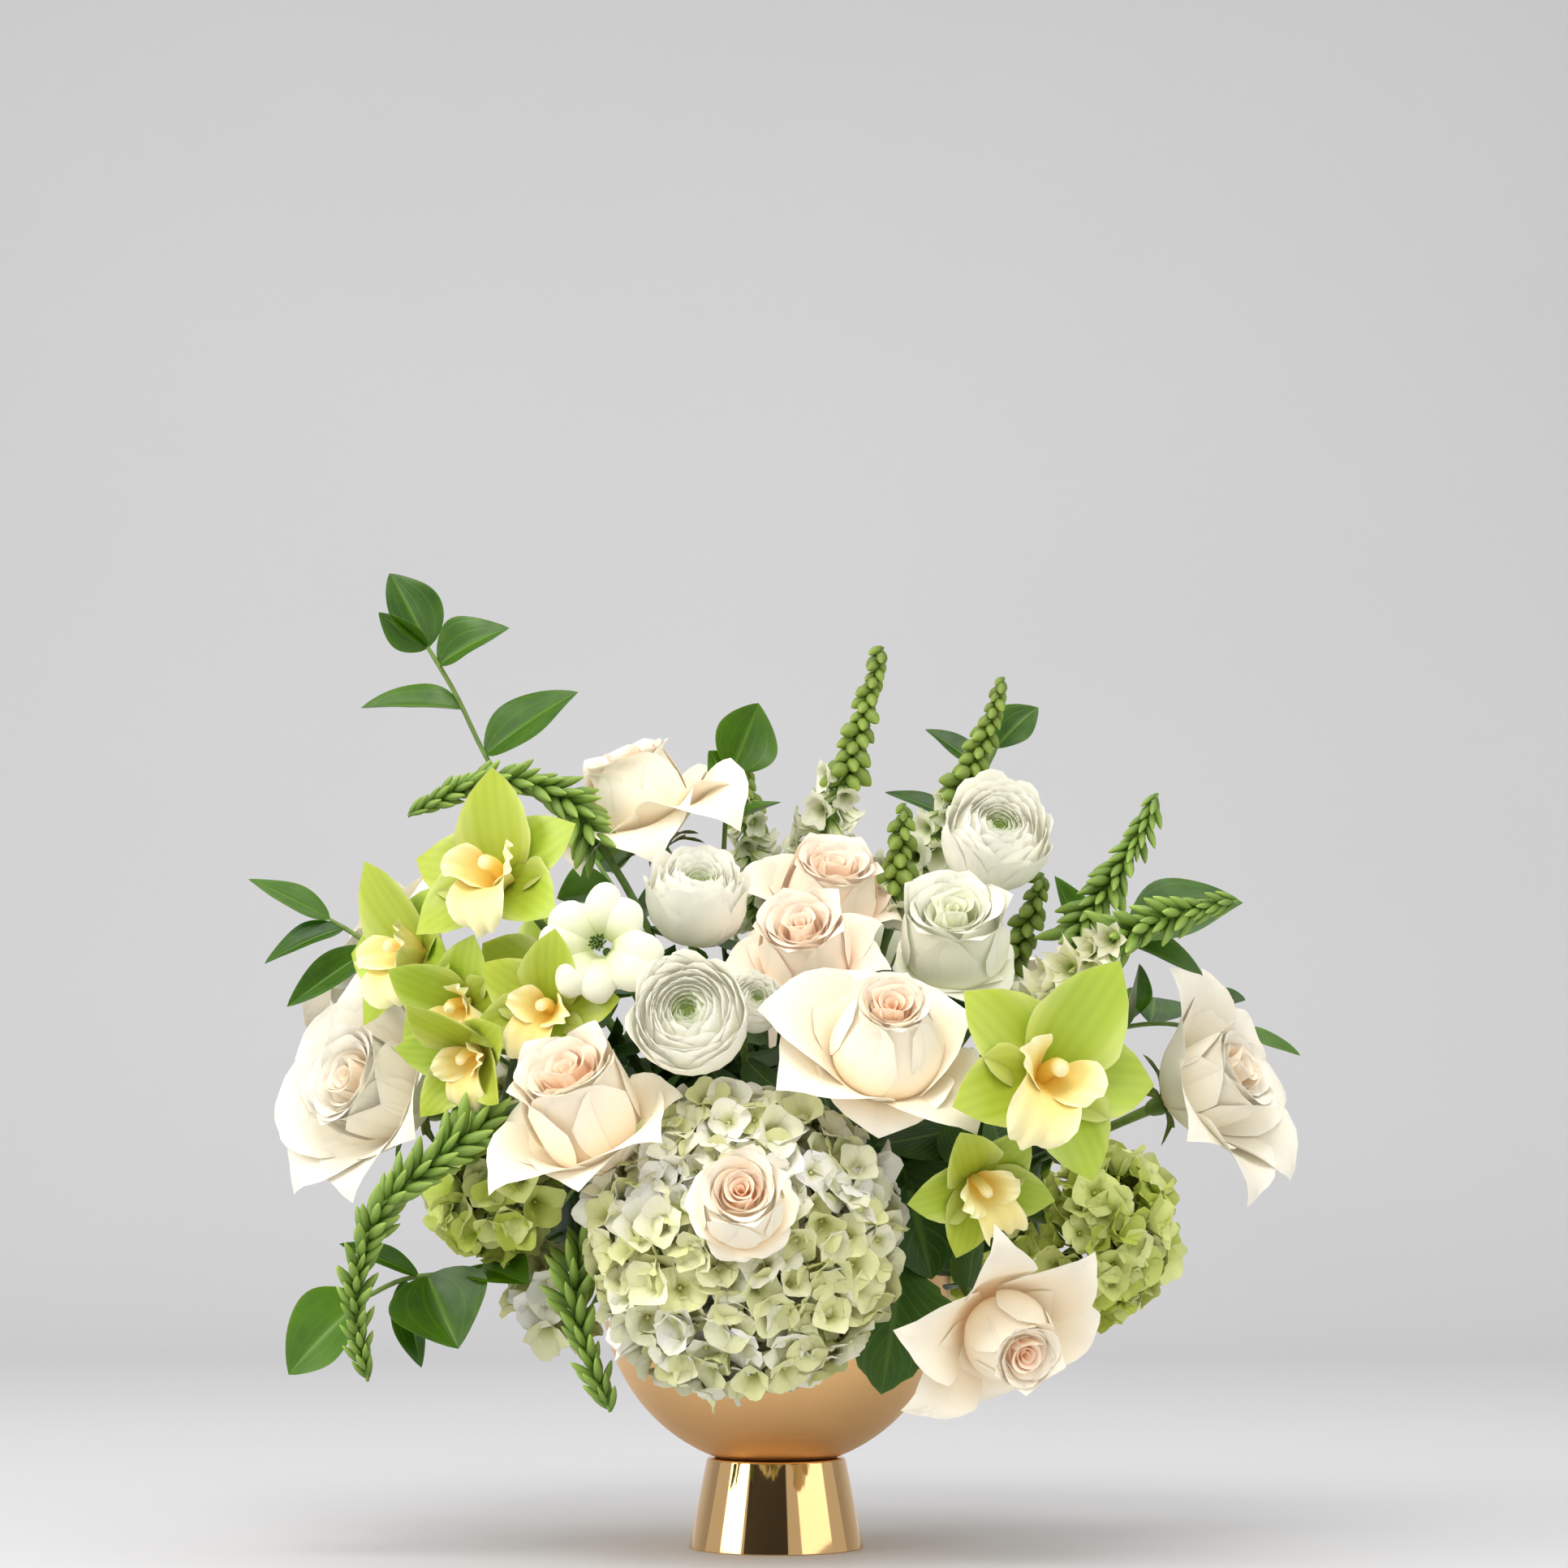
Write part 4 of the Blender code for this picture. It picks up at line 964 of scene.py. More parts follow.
# %% The tree that nests petals
def nested_petals_tree():
    tree, given, output = new_geometry_tree("nested_petals", [
        ("Petal", "NodeSocketCollection", None), ("Count", "NodeSocketInt", 48),
        ("Inner size", "NodeSocketFloat", 0.16), ("Growth", "NodeSocketFloat", 0.8),
        ("Closed lean", "NodeSocketFloat", 0.0), ("Open lean", "NodeSocketFloat", 0.5),
        ("Heart lift", "NodeSocketFloat", 0.015), ("Unevenness", "NodeSocketFloat", 0.06),
        ("Seed", "NodeSocketInt", 1), ("Material", "NodeSocketMaterial", None)])
    index = node(tree, "GeometryNodeInputIndex").outputs[0]
    share = maths(tree, "DIVIDE", index, maths(tree, "SUBTRACT", given["Count"], 1.0))
    size = between(tree, maths(tree, "POWER", share, given["Growth"]), 0, 1,
                   given["Inner size"], 1.0)
    raised = maths(tree, "MULTIPLY", maths(tree, "SUBTRACT", 1.0, size), given["Heart lift"])
    seat = node(tree, "ShaderNodeCombineXYZ", {"Z": raised}).outputs[0]
    points = node(tree, "GeometryNodePoints", {"Count": given["Count"], "Position": seat})
    uneven = unevenness(tree, given)
    turn = maths(tree, "MULTIPLY_ADD", index, GOLDEN_ANGLE, maths(tree, "MULTIPLY", uneven, 4.0))
    opened = between(tree, maths(tree, "POWER", share, 2.6), 0, 1,
                     given["Closed lean"], given["Open lean"])
    lean = about(tree, (0, 1, 0), maths(tree, "ADD", opened, uneven))
    rotation = turned_by(tree, about(tree, (0, 0, 1), turn), lean)
    placed = copies_on(tree, given, "Petal", points.outputs[0], rotation, size)
    end_tree(tree, stored(tree, placed, "layer", share), given["Material"], output)
    return tree


NESTED_PETALS = nested_petals_tree()
print(NESTED_PETALS.name, "has", len(NESTED_PETALS.nodes), "nodes")

# %% [markdown]
# ### White petals
#
# The white blooms are greener at the heart and whitest at the petals' edges. A nested petal knows
# its layer from the tree, so one material can run from green to white through the ball. Single
# petals, which have no layer, take the petal material that the roses use.

# %% White petal finish
def layered_petal_finish(name, heart, body, rim, green_base):
    """White petals nested in a ball: greener inside, whiter at their edges."""
    made, tree, shader = new_material(name)
    petal = petal_numbers(tree)
    layer = node(tree, "ShaderNodeAttribute", attribute_name="layer").outputs["Fac"]
    colour = mixed(tree, between(tree, layer, 0.0, 0.45), heart, body)
    colour = mixed(tree, between(tree, petal.along, 0.1, 0.6, 0.7, 0.0), colour, green_base)
    colour = mixed(tree, between(tree, petal.along, 0.78, 1.0, 0.0, 0.8), colour, rim)
    veins = petal_veins(tree, petal, 20.0)
    colour = shaded(tree, colour, between(tree, veins, 0.2, 0.8, 0.95, 1.04))
    dress(tree, shader, veins, 0.12, 0.0005, Base_Color=colour, Emission_Color=colour,
          Emission_Strength=LIGHT_THROUGH, Roughness=0.5, Specular_IOR_Level=0.3,
          Subsurface_Weight=0.3, Subsurface_Radius=(1.0, 0.97, 0.8), Subsurface_Scale=0.0004)
    return made


WHITE_NESTED = layered_petal_finish("ranunculus_white", linear(184, 208, 108), linear(250, 248, 233),
                                    linear(253, 252, 243), linear(232, 236, 186))
WHITE_PETAL = petal_finish("white_petal", linear(212, 222, 146), linear(232, 233, 210),
                           linear(241, 240, 226), linear(212, 220, 150), heart_reach=0.3)
print("white petals:", WHITE_NESTED.name, WHITE_PETAL.name)

# %% [markdown]
# ### The white blooms
#
# A ranunculus could be modelled petal by petal like a rose, but with near a hundred alike petals
# the tree does it from three. The lisianthus has few petals, rolled round each other, so the rose
# builder's parts make it. The butterfly bloom has one ring of petals that roll back, and a green eye.

# %% Ranunculus, lisianthus and butterfly blooms
def round_petal(name, radius, span, closing, rng, size=(7, 8)):
    """A cupped petal about the bloom's axis: part of a ball from its foot to near its top."""
    petal = Blossom()
    bends = [(0, 86), (0.22, 56), (0.5, 10), (0.74, -closing * 0.6), (0.88, -closing), (1, 24)]
    petal.sheet(petal_grid(rng, 0.0, bends, (0.4, -0.8 * radius), radius, None, radius * span,
                           (radius, radius, radius * 0.95, radius), corner=0.34, narrow=0.3,
                           wave=0.35, size=size), 0.3, chance=rng.random())
    return petal.mesh(name, [WHITE_NESTED])


WHITE_BLOOMS = {
    "ranunculus_top": dict(at=(111, -50, 357), faces=(0.1, -0.85, 0.5), radius=28, depth=40),
    "ranunculus_front": dict(at=(-40, -153, 263), faces=(-0.1, -0.95, 0.25), radius=28, depth=40),
    "ranunculus_side": dict(at=(-40, -82, 322), faces=(0.1, -0.6, 0.8), radius=25, depth=38),
    "lisianthus_right": dict(at=(88, -94, 308), faces=(0.0, -0.7, 0.7), radius=31, depth=46),
    "butterfly_bloom": dict(at=(-85, -128, 301), faces=(-0.2, -0.95, 0.2), radius=30, depth=26),
    "small_white_bloom": dict(at=(-11, -131, 271), faces=(0.2, -0.9, 0.4), radius=14, depth=22),
    "ranunculus_rear": dict(at=(56, 122, 318), faces=(0.3, 0.7, 0.65), radius=32, depth=46),
}


def ranunculus_bloom(name, rng, radius, depth, placing):
    shapes = copies_of(name + "_petal", [round_petal(f"{name}_petal_{i}", radius * 0.94, 0.74 + 0.05 * i,
                                                     46 - 9 * i, rng) for i in range(3)])
    seat = bpy.data.meshes.new(name + "_seat")
    seat.from_pydata([(0, 0, 0)], [], [])
    bloom = grown(name, seat, NESTED_PETALS, Petal=shapes, Count=96, Inner_size=0.09, Growth=0.85,
                  Closed_lean=-0.06, Open_lean=0.4, Heart_lift=radius * 0.62 * MM, Unevenness=0.05,
                  Seed=seed_of(name), Material=WHITE_NESTED)
    bloom.transform(placing @ Matrix.Diagonal((1, 1, depth / (1.6 * radius), 1)))
    return bloom


def lisianthus_bloom(name, rng, radius, depth, placing):
    """A white bloom rolled up like a rose, its outer petals just open."""
    flower = Blossom()
    rose_heart(flower, rng, radius * 0.95, depth, 0.4, mouth=14)
    rose_outer_cup(flower, rng, radius * 0.96, depth, 1.4, mouth=10)
    rose_guards(flower, rng, radius, depth, radius * 1.14, plain_guards(rng, 6))
    rose_calyx(flower, rng, radius * 0.8, depth * 0.9)
    return flower.mesh(name, [WHITE_PETAL, STALK], placing)


def butterfly_head(name, rng, radius, depth, placing, count=8):
    """Rounded petals that roll back like little balls round a green eye."""
    flower = Blossom()
    for i in range(count):
        azimuth = i * 2 * pi / count + rng.uniform(-0.2, 0.2)
        ball = radius * rng.uniform(0.32, 0.42)
        flower.sheet(petal_grid(rng, azimuth, [(0, 20), (0.25, 46), (0.5, 84), (0.75, 132), (1, 190)],
                                (radius * 0.14, -0.1 * depth), radius * rng.uniform(0.88, 1.12),
                                None, ball * 1.4, (-ball * 1.6, -ball, -ball * 0.9, -ball * 0.8),
                                corner=0.25, narrow=0.4, widest=0.45, wave=0.7, size=(11, 15)),
                     0.4, depth=0.5 + 0.5 * rng.random(), chance=rng.random())
    for i in range(26):
        tilt, turn = 0.55 * sqrt(i / 25), GOLDEN_ANGLE * i
        tip = radius * 0.3 * np.array([sin(tilt) * cos(turn), sin(tilt) * sin(turn), cos(tilt)])
        flower.rod([tip * 0.2, tip * 0.7, tip * 0.86, tip], [0.35, 0.3, 0.8, 0.4], sides=5, slot=1,
                   chance=rng.random())
    return flower.mesh(name, [WHITE_PETAL, STALK], placing)


def build_white_bloom(name, at, faces, radius, depth):
    rng = dice(name)
    shape = {"lisianthus_right": lisianthus_bloom, "butterfly_bloom": butterfly_head}
    maker = shape.get(name, ranunculus_bloom)
    parts = [maker(name, rng, radius, depth, facing(at, faces))]
    route = stem_route(name, np.array(at) - unit(faces) * 0.42 * depth, -unit(faces))
    parts += [stem_mesh(name, route, 1.8), bed_leaves(name, route, 8)]
    return show("white_" + name, joined(name, parts), name)


make_each(build_white_bloom, WHITE_BLOOMS)

# %% [markdown]
# ## Cymbidium orchids
#
# A cymbidium has five waxy green tepals, an upright one that hoods the flower, two at its sides and
# two below, and a sixth that has become the lip: cream, frilled, with side lobes that stand up
# round a short thick column. The tepals use the petal shape again, with parallel veins.

# %% Orchid finishes
def tepal_finish(name, body, edge, base):
    """Waxy green tepals, paler at their sides, striped along and each a little different."""
    made, tree, shader = new_material(name)
    petal = petal_numbers(tree)
    side = maths(tree, "ABSOLUTE", petal.across)
    colour = mixed(tree, between(tree, side, 0.45, 1.0, 0.0, 0.8), body, edge)
    colour = mixed(tree, between(tree, petal.along, 0.0, 0.45, 0.75, 0.0), colour, base)
    stripes = maths(tree, "SINE", maths(tree, "MULTIPLY", petal.across, 24.0))
    value = maths(tree, "ADD", between(tree, stripes, -1, 1, 0.96, 1.02),
                  between(tree, petal.chance, 0, 1, -0.06, 0.06))
    hue = between(tree, petal.chance, 0, 1, 0.488, 0.512)
    dress(tree, shader, stripes, 0.1, 0.0004, Base_Color=shaded(tree, colour, value, hue),
          Roughness=0.38, Subsurface_Weight=0.25, Subsurface_Radius=(0.8, 1.0, 0.25),
          Subsurface_Scale=0.004)
    return made


TEPAL = tepal_finish("cymbidium_tepal", linear(174, 194, 62), linear(218, 228, 140),
                     linear(142, 168, 30))
LIP = petal_finish("cymbidium_lip", linear(236, 180, 50), linear(244, 234, 160),
                   linear(250, 246, 206), linear(246, 206, 70))
print("orchid finishes:", TEPAL.name, LIP.name)

# %% [markdown]
# ### The orchid blooms
#
# There are only eight orchids and each faces its own way, so they are placed one by one. A bloom is
# five tepals about the axis, three sheets for the lip and a rod for the column; chance bends every
# petal a little, because no two on a real stem open alike.

# %% Orchids
ORCHIDS = {   # `cupped` closes the tepals forward, in degrees; `roll` turns the bloom about its axis
    "orchid_left_top": dict(at=(-135, -80, 335), faces=(-0.35, -0.85, 0.35), petal=51, cupped=6, roll=0.1),
    "orchid_left_middle": dict(at=(-110, -112, 270), faces=(-0.2, -0.95, 0.1), petal=39, cupped=14,
                               roll=-0.3),
    "orchid_left_low": dict(at=(-145, -106, 250), faces=(-0.45, -0.8, -0.2), petal=36, cupped=34,
                            roll=0.2),
    "orchid_left_behind": dict(at=(-154, -80, 275), faces=(-0.4, -0.9, -0.15), petal=38, cupped=12,
                               roll=0.9),
    "orchid_left_outer": dict(at=(-178, -50, 300), faces=(-0.7, -0.65, 0.2), petal=47, cupped=8,
                              roll=0.4),
    "orchid_right": dict(at=(126, -152, 236), faces=(0.3, -0.95, 0.15), petal=57, cupped=4, roll=-0.5),
    "orchid_right_low": dict(at=(95, -138, 188), faces=(0.3, -0.9, -0.3), petal=38, cupped=10, roll=0.5),
    "orchid_rear": dict(at=(-125, 125, 290), faces=(-0.55, 0.75, 0.35), petal=50, cupped=6, roll=0.2),
}


def orchid_bloom(name, rng, petal, cupped, placing):
    flower = Blossom()
    spread = [(90, 0.46, 24), (20, 0.43, 0), (160, 0.43, 0), (-42, 0.4, 4), (-138, 0.4, 4)]
    for turn, width, hood in spread:
        close = cupped + hood + rng.uniform(-5, 5)
        flower.sheet(petal_grid(rng, radians(turn + rng.uniform(-5, 5)),
                                [(0, 40), (0.2, 66 - close * 0.4), (0.55, 82 - close), (0.8, 90 - close),
                                 (1, 104 - close * 1.3)],
                                (1.5, 0), petal * rng.uniform(0.9, 1.02), None, petal * width,
                                (petal * 0.5, petal * 0.62, petal * 0.9, petal * 1.2), widest=0.46,
                                narrow=0.26, corner=0.5, point=0.09, wave=0.9, size=(11, 13)),
                     0.9, depth=0.8, chance=rng.random(), slot=0)
    lip = petal * 0.56
    for azimuth, width, reach, bends in (
            (-90, 0.62, 1.25, [(0, 34), (0.35, 26), (0.6, 60), (0.8, 110), (1, 168)]),
            (-10, 0.46, 0.7, [(0, 34), (0.4, 20), (0.8, 24), (1, 70)]),
            (190, 0.46, 0.7, [(0, 34), (0.4, 20), (0.8, 24), (1, 70)])):
        flower.sheet(petal_grid(rng, radians(azimuth), bends, (1.2, 1.0), lip * reach, None, lip * width,
                                (lip * 0.5, lip * 0.5, lip * 1.2, -lip * 1.5), widest=0.7, corner=0.3,
                                wave=2.4, frill=2.0, size=(21, 15)),
                     0.6, depth=0.45 + 0.1 * rng.random(), chance=rng.random(), slot=1)
    column = lip * np.array([(0, 0.02, 0), (0, 0.1, 0.3), (0, 0.1, 0.62), (0, 0.0, 0.9), (0, -0.08, 1.0)])
    flower.rod(column, lip * np.array([0.15, 0.13, 0.13, 0.14, 0.08]), sides=10, depth=0.3, slot=1)
    return flower.mesh(name, [TEPAL, LIP], placing)


def build_orchid(name, at, faces, petal, cupped, roll):
    rng = dice(name)
    bloom = orchid_bloom(name, rng, petal, cupped, facing(at, faces, roll))
    route = stem_route(name, np.array(at) - unit(faces) * 0.5, -unit(faces))
    parts = [bloom, stem_mesh(name, route, 2.2, swell=0.8), bed_leaves(name, route, 7)]
    return show("cymbidium_" + name, joined(name, parts), name)


make_each(build_orchid, ORCHIDS)

# %% [markdown]
# ## Hydrangea heads
#
# A mophead hydrangea is a dome covered by small flowers of four round sepals. No one would place
# them by hand: the tree scatters points over the dome, keeps them a floret's width apart, stands a
# floret on each and lets it tilt and turn by chance. Three florets, from nearly shut to wide open,
# are enough for the head to look grown, and each has only a few dozen faces because there are
# hundreds of copies.

# %% The tree that covers a dome with florets
def dome_of_florets_tree():
    tree, given, output = new_geometry_tree("florets_on_dome", [
        ("Floret", "NodeSocketCollection", None), ("Spacing", "NodeSocketFloat", 0.014),
        ("Tilt", "NodeSocketFloat", 0.5), ("Smallest", "NodeSocketFloat", 0.75),
        ("Largest", "NodeSocketFloat", 1.15), ("Seed", "NodeSocketInt", 1),
        ("Material", "NodeSocketMaterial", None)])
    points = node(tree, "GeometryNodeDistributePointsOnFaces", {
        "Mesh": given["Geometry"], "Distance Min": given["Spacing"], "Density Max": 60000.0,
        "Seed": given["Seed"]}, distribute_method="POISSON")
    tilt = node(tree, "FunctionNodeRandomValue", {"Seed": given["Seed"]}, data_type="FLOAT_VECTOR")
    fill(tree, tilt.inputs, {0: (-1, -1, -6.28), 1: (1, 1, 6.28)})
    amount = node(tree, "ShaderNodeCombineXYZ", {"X": given["Tilt"], "Y": given["Tilt"], "Z": 1.0})
    turn = node(tree, "ShaderNodeVectorMath", {0: tilt.outputs[0], 1: amount.outputs[0]},
                operation="MULTIPLY")
    rotation = turned_by(tree, points.outputs["Rotation"], turn.outputs[0])
    size = node(tree, "FunctionNodeRandomValue", {"Seed": 3}, data_type="FLOAT")
    fill(tree, size.inputs, {2: given["Smallest"], 3: given["Largest"]})
    placed = copies_on(tree, given, "Floret", points.outputs["Points"], rotation, size.outputs[1])
    end_tree(tree, placed, given["Material"], output)
    return tree


DOME_OF_FLORETS = dome_of_florets_tree()
print(DOME_OF_FLORETS.name, "has", len(DOME_OF_FLORETS.nodes), "nodes")

# %% [markdown]
# ### Florets
#
# A floret is four sepals round a bead on a stalk. Its colour cannot be painted per head, since
# hundreds are copied, so the material reads a number that the tree keeps on each copy and a slow
# drift over the head: some florets stay cream while their neighbours turn lime.

# %% Florets and their finish
def sepal_floret(name, rng, reach, opening):
    """Four round sepals about a bead, standing on a short stalk."""
    floret = Blossom()
    for i in range(4):
        floret.sheet(petal_grid(rng, i * pi / 2 + rng.uniform(-0.1, 0.1),
                                [(0, 30), (0.3, opening - 12), (1, opening + 12)],
                                (0.6, 0), reach * rng.uniform(0.9, 1.05), None, reach * 0.6,
                                (reach * 0.7, reach, reach * 2, -reach * 2), widest=0.62, narrow=0.4,
                                corner=0.3, wave=1.7, size=(5, 5)), 0.3, depth=0.7,
                     chance=rng.random())
    floret.rod([(0, 0, -6), (0, 0, 1.2), (0, 0, 2.2)], [0.5, 1.1, 0.6], sides=4, depth=0.1)
    return floret.mesh(name, [])


def hydrangea_finish(name, cream, lime, shade):
    """Sepals that drift from cream to lime over the head, with painted shade that darkens them towards
    their bead.
    """
    made, tree, shader = new_material(name)
    petal = petal_numbers(tree)
    floret = node(tree, "ShaderNodeAttribute", attribute_name="floret").outputs["Fac"]
    drift = noise(tree, object_place(tree), 22.0, 2.0)
    share = maths(tree, "MULTIPLY_ADD", floret, 0.7, maths(tree, "SUBTRACT", drift, 0.35))
    colour = mixed(tree, between(tree, share, 0.1, 0.7), cream, lime)
    # painted shade: each sepal turns olive towards its bead, where shade falls between the sepals
    colour = mixed(tree, between(tree, petal.along, 0.0, 0.52, 0.9, 0.0), colour, shade)
    colour = mixed(tree, between(tree, petal.depth, 0.3, 0.1), colour, lime)
    veins = petal_veins(tree, petal, 9.0)
    dress(tree, shader, veins, 0.25, 0.0005, Roughness=0.55, Subsurface_Weight=0.3,
          Subsurface_Radius=(0.9, 1.0, 0.5), Subsurface_Scale=0.0004,
          Base_Color=shaded(tree, colour, between(tree, veins, 0.3, 0.7, 0.95, 1.03)))
    return made


# the third colour of each finish is the painted shade at the sepals' bases
SEPAL_CREAM = hydrangea_finish("hydrangea_cream", linear(253, 252, 244), linear(228, 230, 170),
                               linear(176, 178, 76))
SEPAL_LIME = hydrangea_finish("hydrangea_lime", linear(232, 238, 164), linear(192, 206, 88),
                              linear(152, 168, 44))
FLORETS = copies_of("floret", [sepal_floret(f"floret_{i}", dice(f"floret_{i}"), 11.5, opening)
                               for i, opening in enumerate((80, 64, 42))])

# %% [markdown]
# ### The heads
#
# The dome itself never shows; it only says where florets stand. A second layer of florets lies under
# the first, so that looking between them shows more petals and not a hollow. In the front head the
# dome is cut open where roses sit in it, as stems pushed through a real head part its florets.

# %% Hydrangea heads
HYDRANGEAS = {
    "hydrangea_front": dict(at=(-15, -135, 159), faces=(0.0, -1.0, -0.05), radius=75, dome=42,
                            finish=SEPAL_CREAM),
    "hydrangea_right": dict(at=(166, -56, 160), faces=(0.8, -0.55, -0.2), radius=44, dome=30,
                            finish=SEPAL_LIME),
    "hydrangea_left": dict(at=(-140, -82, 187), faces=(-0.7, -0.7, 0.0), radius=38, dome=30,
                           finish=SEPAL_LIME),
    "hydrangea_left_low": dict(at=(-112, -64, 131), faces=(-0.75, -0.6, -0.35), radius=25, dome=20,
                               finish=SEPAL_CREAM),
    "hydrangea_rear_left": dict(at=(-120, 100, 205), faces=(-0.75, 0.65, 0.1), radius=58, dome=38,
                                finish=SEPAL_CREAM),
    "hydrangea_rear_right": dict(at=(95, 135, 185), faces=(0.55, 0.85, 0.0), radius=62, dome=40,
                                 finish=SEPAL_LIME),
}
ROSE_POCKETS = {"hydrangea_front": ("rose_in_hydrangea", "rose_middle_left")}
FLORET_REACH = 8.0   # how far a floret stands proud of the surface that the tree covers


def dome_surface(name, radius, dome, pockets, placing):
    """The surface the florets stand on, open where a rose sits in the head."""
    wide, high = radius - FLORET_REACH, dome - FLORET_REACH
    angles = np.radians(np.linspace(0, 128, 18))
    edit = bmesh.new()
    rings = []
    for a in angles:
        turns = np.linspace(0, 2 * pi, 40, endpoint=False)
        rings.append([edit.verts.new((wide * sin(a) * cos(t) * MM, wide * sin(a) * sin(t) * MM,
                                      high * cos(a) * MM)) for t in turns] if a > 0 else None)
    pole = edit.verts.new((0, 0, high * MM))
    for j in range(40):
        edit.faces.new((pole, rings[1][j], rings[1][(j + 1) % 40]))
        for near, far in zip(rings[1:], rings[2:]):
            edit.faces.new((near[j], far[j], far[(j + 1) % 40], near[(j + 1) % 40]))
    mesh = bpy.data.meshes.new(name + "_dome")
    bmesh.ops.transform(edit, matrix=placing, verts=edit.verts)
    for at, reach in pockets:
        near = [v for v in edit.verts if (v.co - Vector(at) * MM).length < reach * MM]
        bmesh.ops.delete(edit, geom=near, context="VERTS")
    edit.to_mesh(mesh)
    edit.free()
    return mesh


def head_stalks(name, rng, radius, dome, placing):
    """The branching stalks under the florets, which show at the head's edge."""
    stalks = Blossom()
    for i in range(34):
        tilt, turn = radians(rng.uniform(5, 115)), GOLDEN_ANGLE * i
        end = np.array([(radius - 12) * sin(tilt) * cos(turn), (radius - 12) * sin(tilt) * sin(turn),
                        (dome - 10) * cos(tilt)])
        foot = np.array([0, 0, -0.2 * dome])
        middle = (foot + end) / 2 + np.array([0, 0, 0.1 * dome])
        stalks.rod([foot, middle, end], [1.4, 0.9, 0.7], sides=5, chance=rng.random())
    return stalks.mesh(name + "_stalks", [STALK], placing)


def build_hydrangea(name, at, faces, radius, dome, finish):
    rng, placing = dice(name), facing(at, faces)
    pockets = [(ROSES[rose]["at"], ROSES[rose]["cup"][0] + 3) for rose in ROSE_POCKETS.get(name, ())]
    seed = seed_of(name)
    florets = grown(name, dome_surface(name, radius, dome, pockets, placing), DOME_OF_FLORETS,
                    Floret=FLORETS, Spacing=0.009, Tilt=0.68, Smallest=0.76, Largest=1.2, Seed=seed,
                    Material=finish)
    inner = grown(name + "_inner", dome_surface(name, radius - 9, dome - 9, pockets, placing),
                  DOME_OF_FLORETS, Floret=FLORETS, Spacing=0.0105, Tilt=0.8, Smallest=0.9,
                  Largest=1.2, Seed=seed + 1, Material=finish)
    base = np.array(at) - unit(faces) * 0.2 * dome
    route = stem_route(name, base, -unit(faces))
    parts = [florets, inner, head_stalks(name, rng, radius, dome, placing),
             stem_mesh(name, route, 3.0), bed_leaves(name, route, 5, size=(0.9, 1.3))]
    return show("mophead_" + name, joined(name, parts), name)


make_each(build_hydrangea, HYDRANGEAS)

# %% [markdown]
# ## Flower spikes
#
# Snapdragons and stars-of-Bethlehem open from the bottom up, so their spikes run from hard little
# green buds at the tip to open white flowers below. The tree that sets leaves on a stem sets buds
# on it too: twice on each snapdragon, small buds above and pouched flowers below.

# %% Buds and the spikes' finishes
def spike_finish(name, tip, foot, bright, reach):
    """Buds whose colour runs from their green foot to a paler end, paler low on the spike."""
    made, tree, shader = new_material(name)
    petal = petal_numbers(tree)
    floret = node(tree, "ShaderNodeAttribute", attribute_name="floret").outputs["Fac"]
    colour = mixed(tree, between(tree, petal.along, 0.1, reach), foot, tip)
    pale = between(tree, maths(tree, "MULTIPLY", petal.along, petal.depth), 0.3, 0.9)
    colour = mixed(tree, pale, colour, bright)
    dress(tree, shader, petal_veins(tree, petal, 12.0), 0.2, 0.0004, Roughness=0.48,
          Subsurface_Weight=0.2, Subsurface_Radius=(0.7, 1.0, 0.3), Subsurface_Scale=0.002,
          Base_Color=shaded(tree, colour, between(tree, floret, 0, 1, 0.85, 1.12)))
    return made


SNAPDRAGON_BUD = spike_finish("snapdragon_bud", linear(150, 172, 70), linear(82, 110, 28),
                              linear(190, 204, 128), 0.9)
SNAPDRAGON_FLOWER = spike_finish("snapdragon_flower", linear(198, 214, 132), linear(120, 158, 56),
                                 linear(248, 250, 222), 0.5)
STAR_BUD = spike_finish("star_bud", linear(158, 186, 82), linear(72, 112, 16), linear(196, 210, 118),
                        0.9)
STAR_OPEN = spike_finish("star_open", linear(236, 238, 170), linear(142, 172, 62),
                         linear(253, 251, 220), 0.5)


def bud(name, length, width, depth, sides=7):
    """A plump bud along +Z that tapers to a blunt tip."""
    shape = Blossom()
    heights = np.array([0.0, 0.12, 0.35, 0.6, 0.82, 0.95, 1.0]) * length
    radii = np.array([0.16, 0.55, 0.95, 1.0, 0.66, 0.3, 0.08]) * width / 2
    lean = np.array([(0, 0.05 * h * h / length, h) for h in heights])
    shape.rod(lean, radii, sides=sides, depth=depth)
    return shape.mesh(name, [])


def pouch(name, rng, length):
    """An open snapdragon flower: a tube that ends in ruffled lips."""
    flower = Blossom()
    for turn, width, lip in ((90, 0.5, 100), (45, 0.36, 60), (135, 0.36, 60), (-90, 0.46, 120),
                             (-30, 0.36, 110), (-150, 0.36, 110)):
        flower.sheet(petal_grid(rng, radians(turn), [(0, 20), (0.5, 12), (0.7, 40), (1, lip)],
                                (0.6, 0), length * 0.55, None, length * width,
                                (length * 0.3, length * 0.3, length * 0.6, -length), widest=0.7,
                                corner=0.3, wave=0.9, size=(5, 7)), 0.3, depth=1.0,
                     chance=rng.random())
    return flower.mesh(name, [])


def star(name, rng, length):
    """An open star-of-Bethlehem flower of six cupped petals."""
    flower = Blossom()
    for i in range(6):
        flower.sheet(petal_grid(rng, i * pi / 3, [(0, 30), (0.4, 34), (1, 50)], (0.5, 0),
                                length * 0.62, None, length * 0.26, (5, 6, 9, 12), widest=0.5,
                                corner=0.3, point=0.15, wave=0.2, size=(5, 5)), 0.3, depth=1.0,
                     chance=rng.random())
    return flower.mesh(name, [])


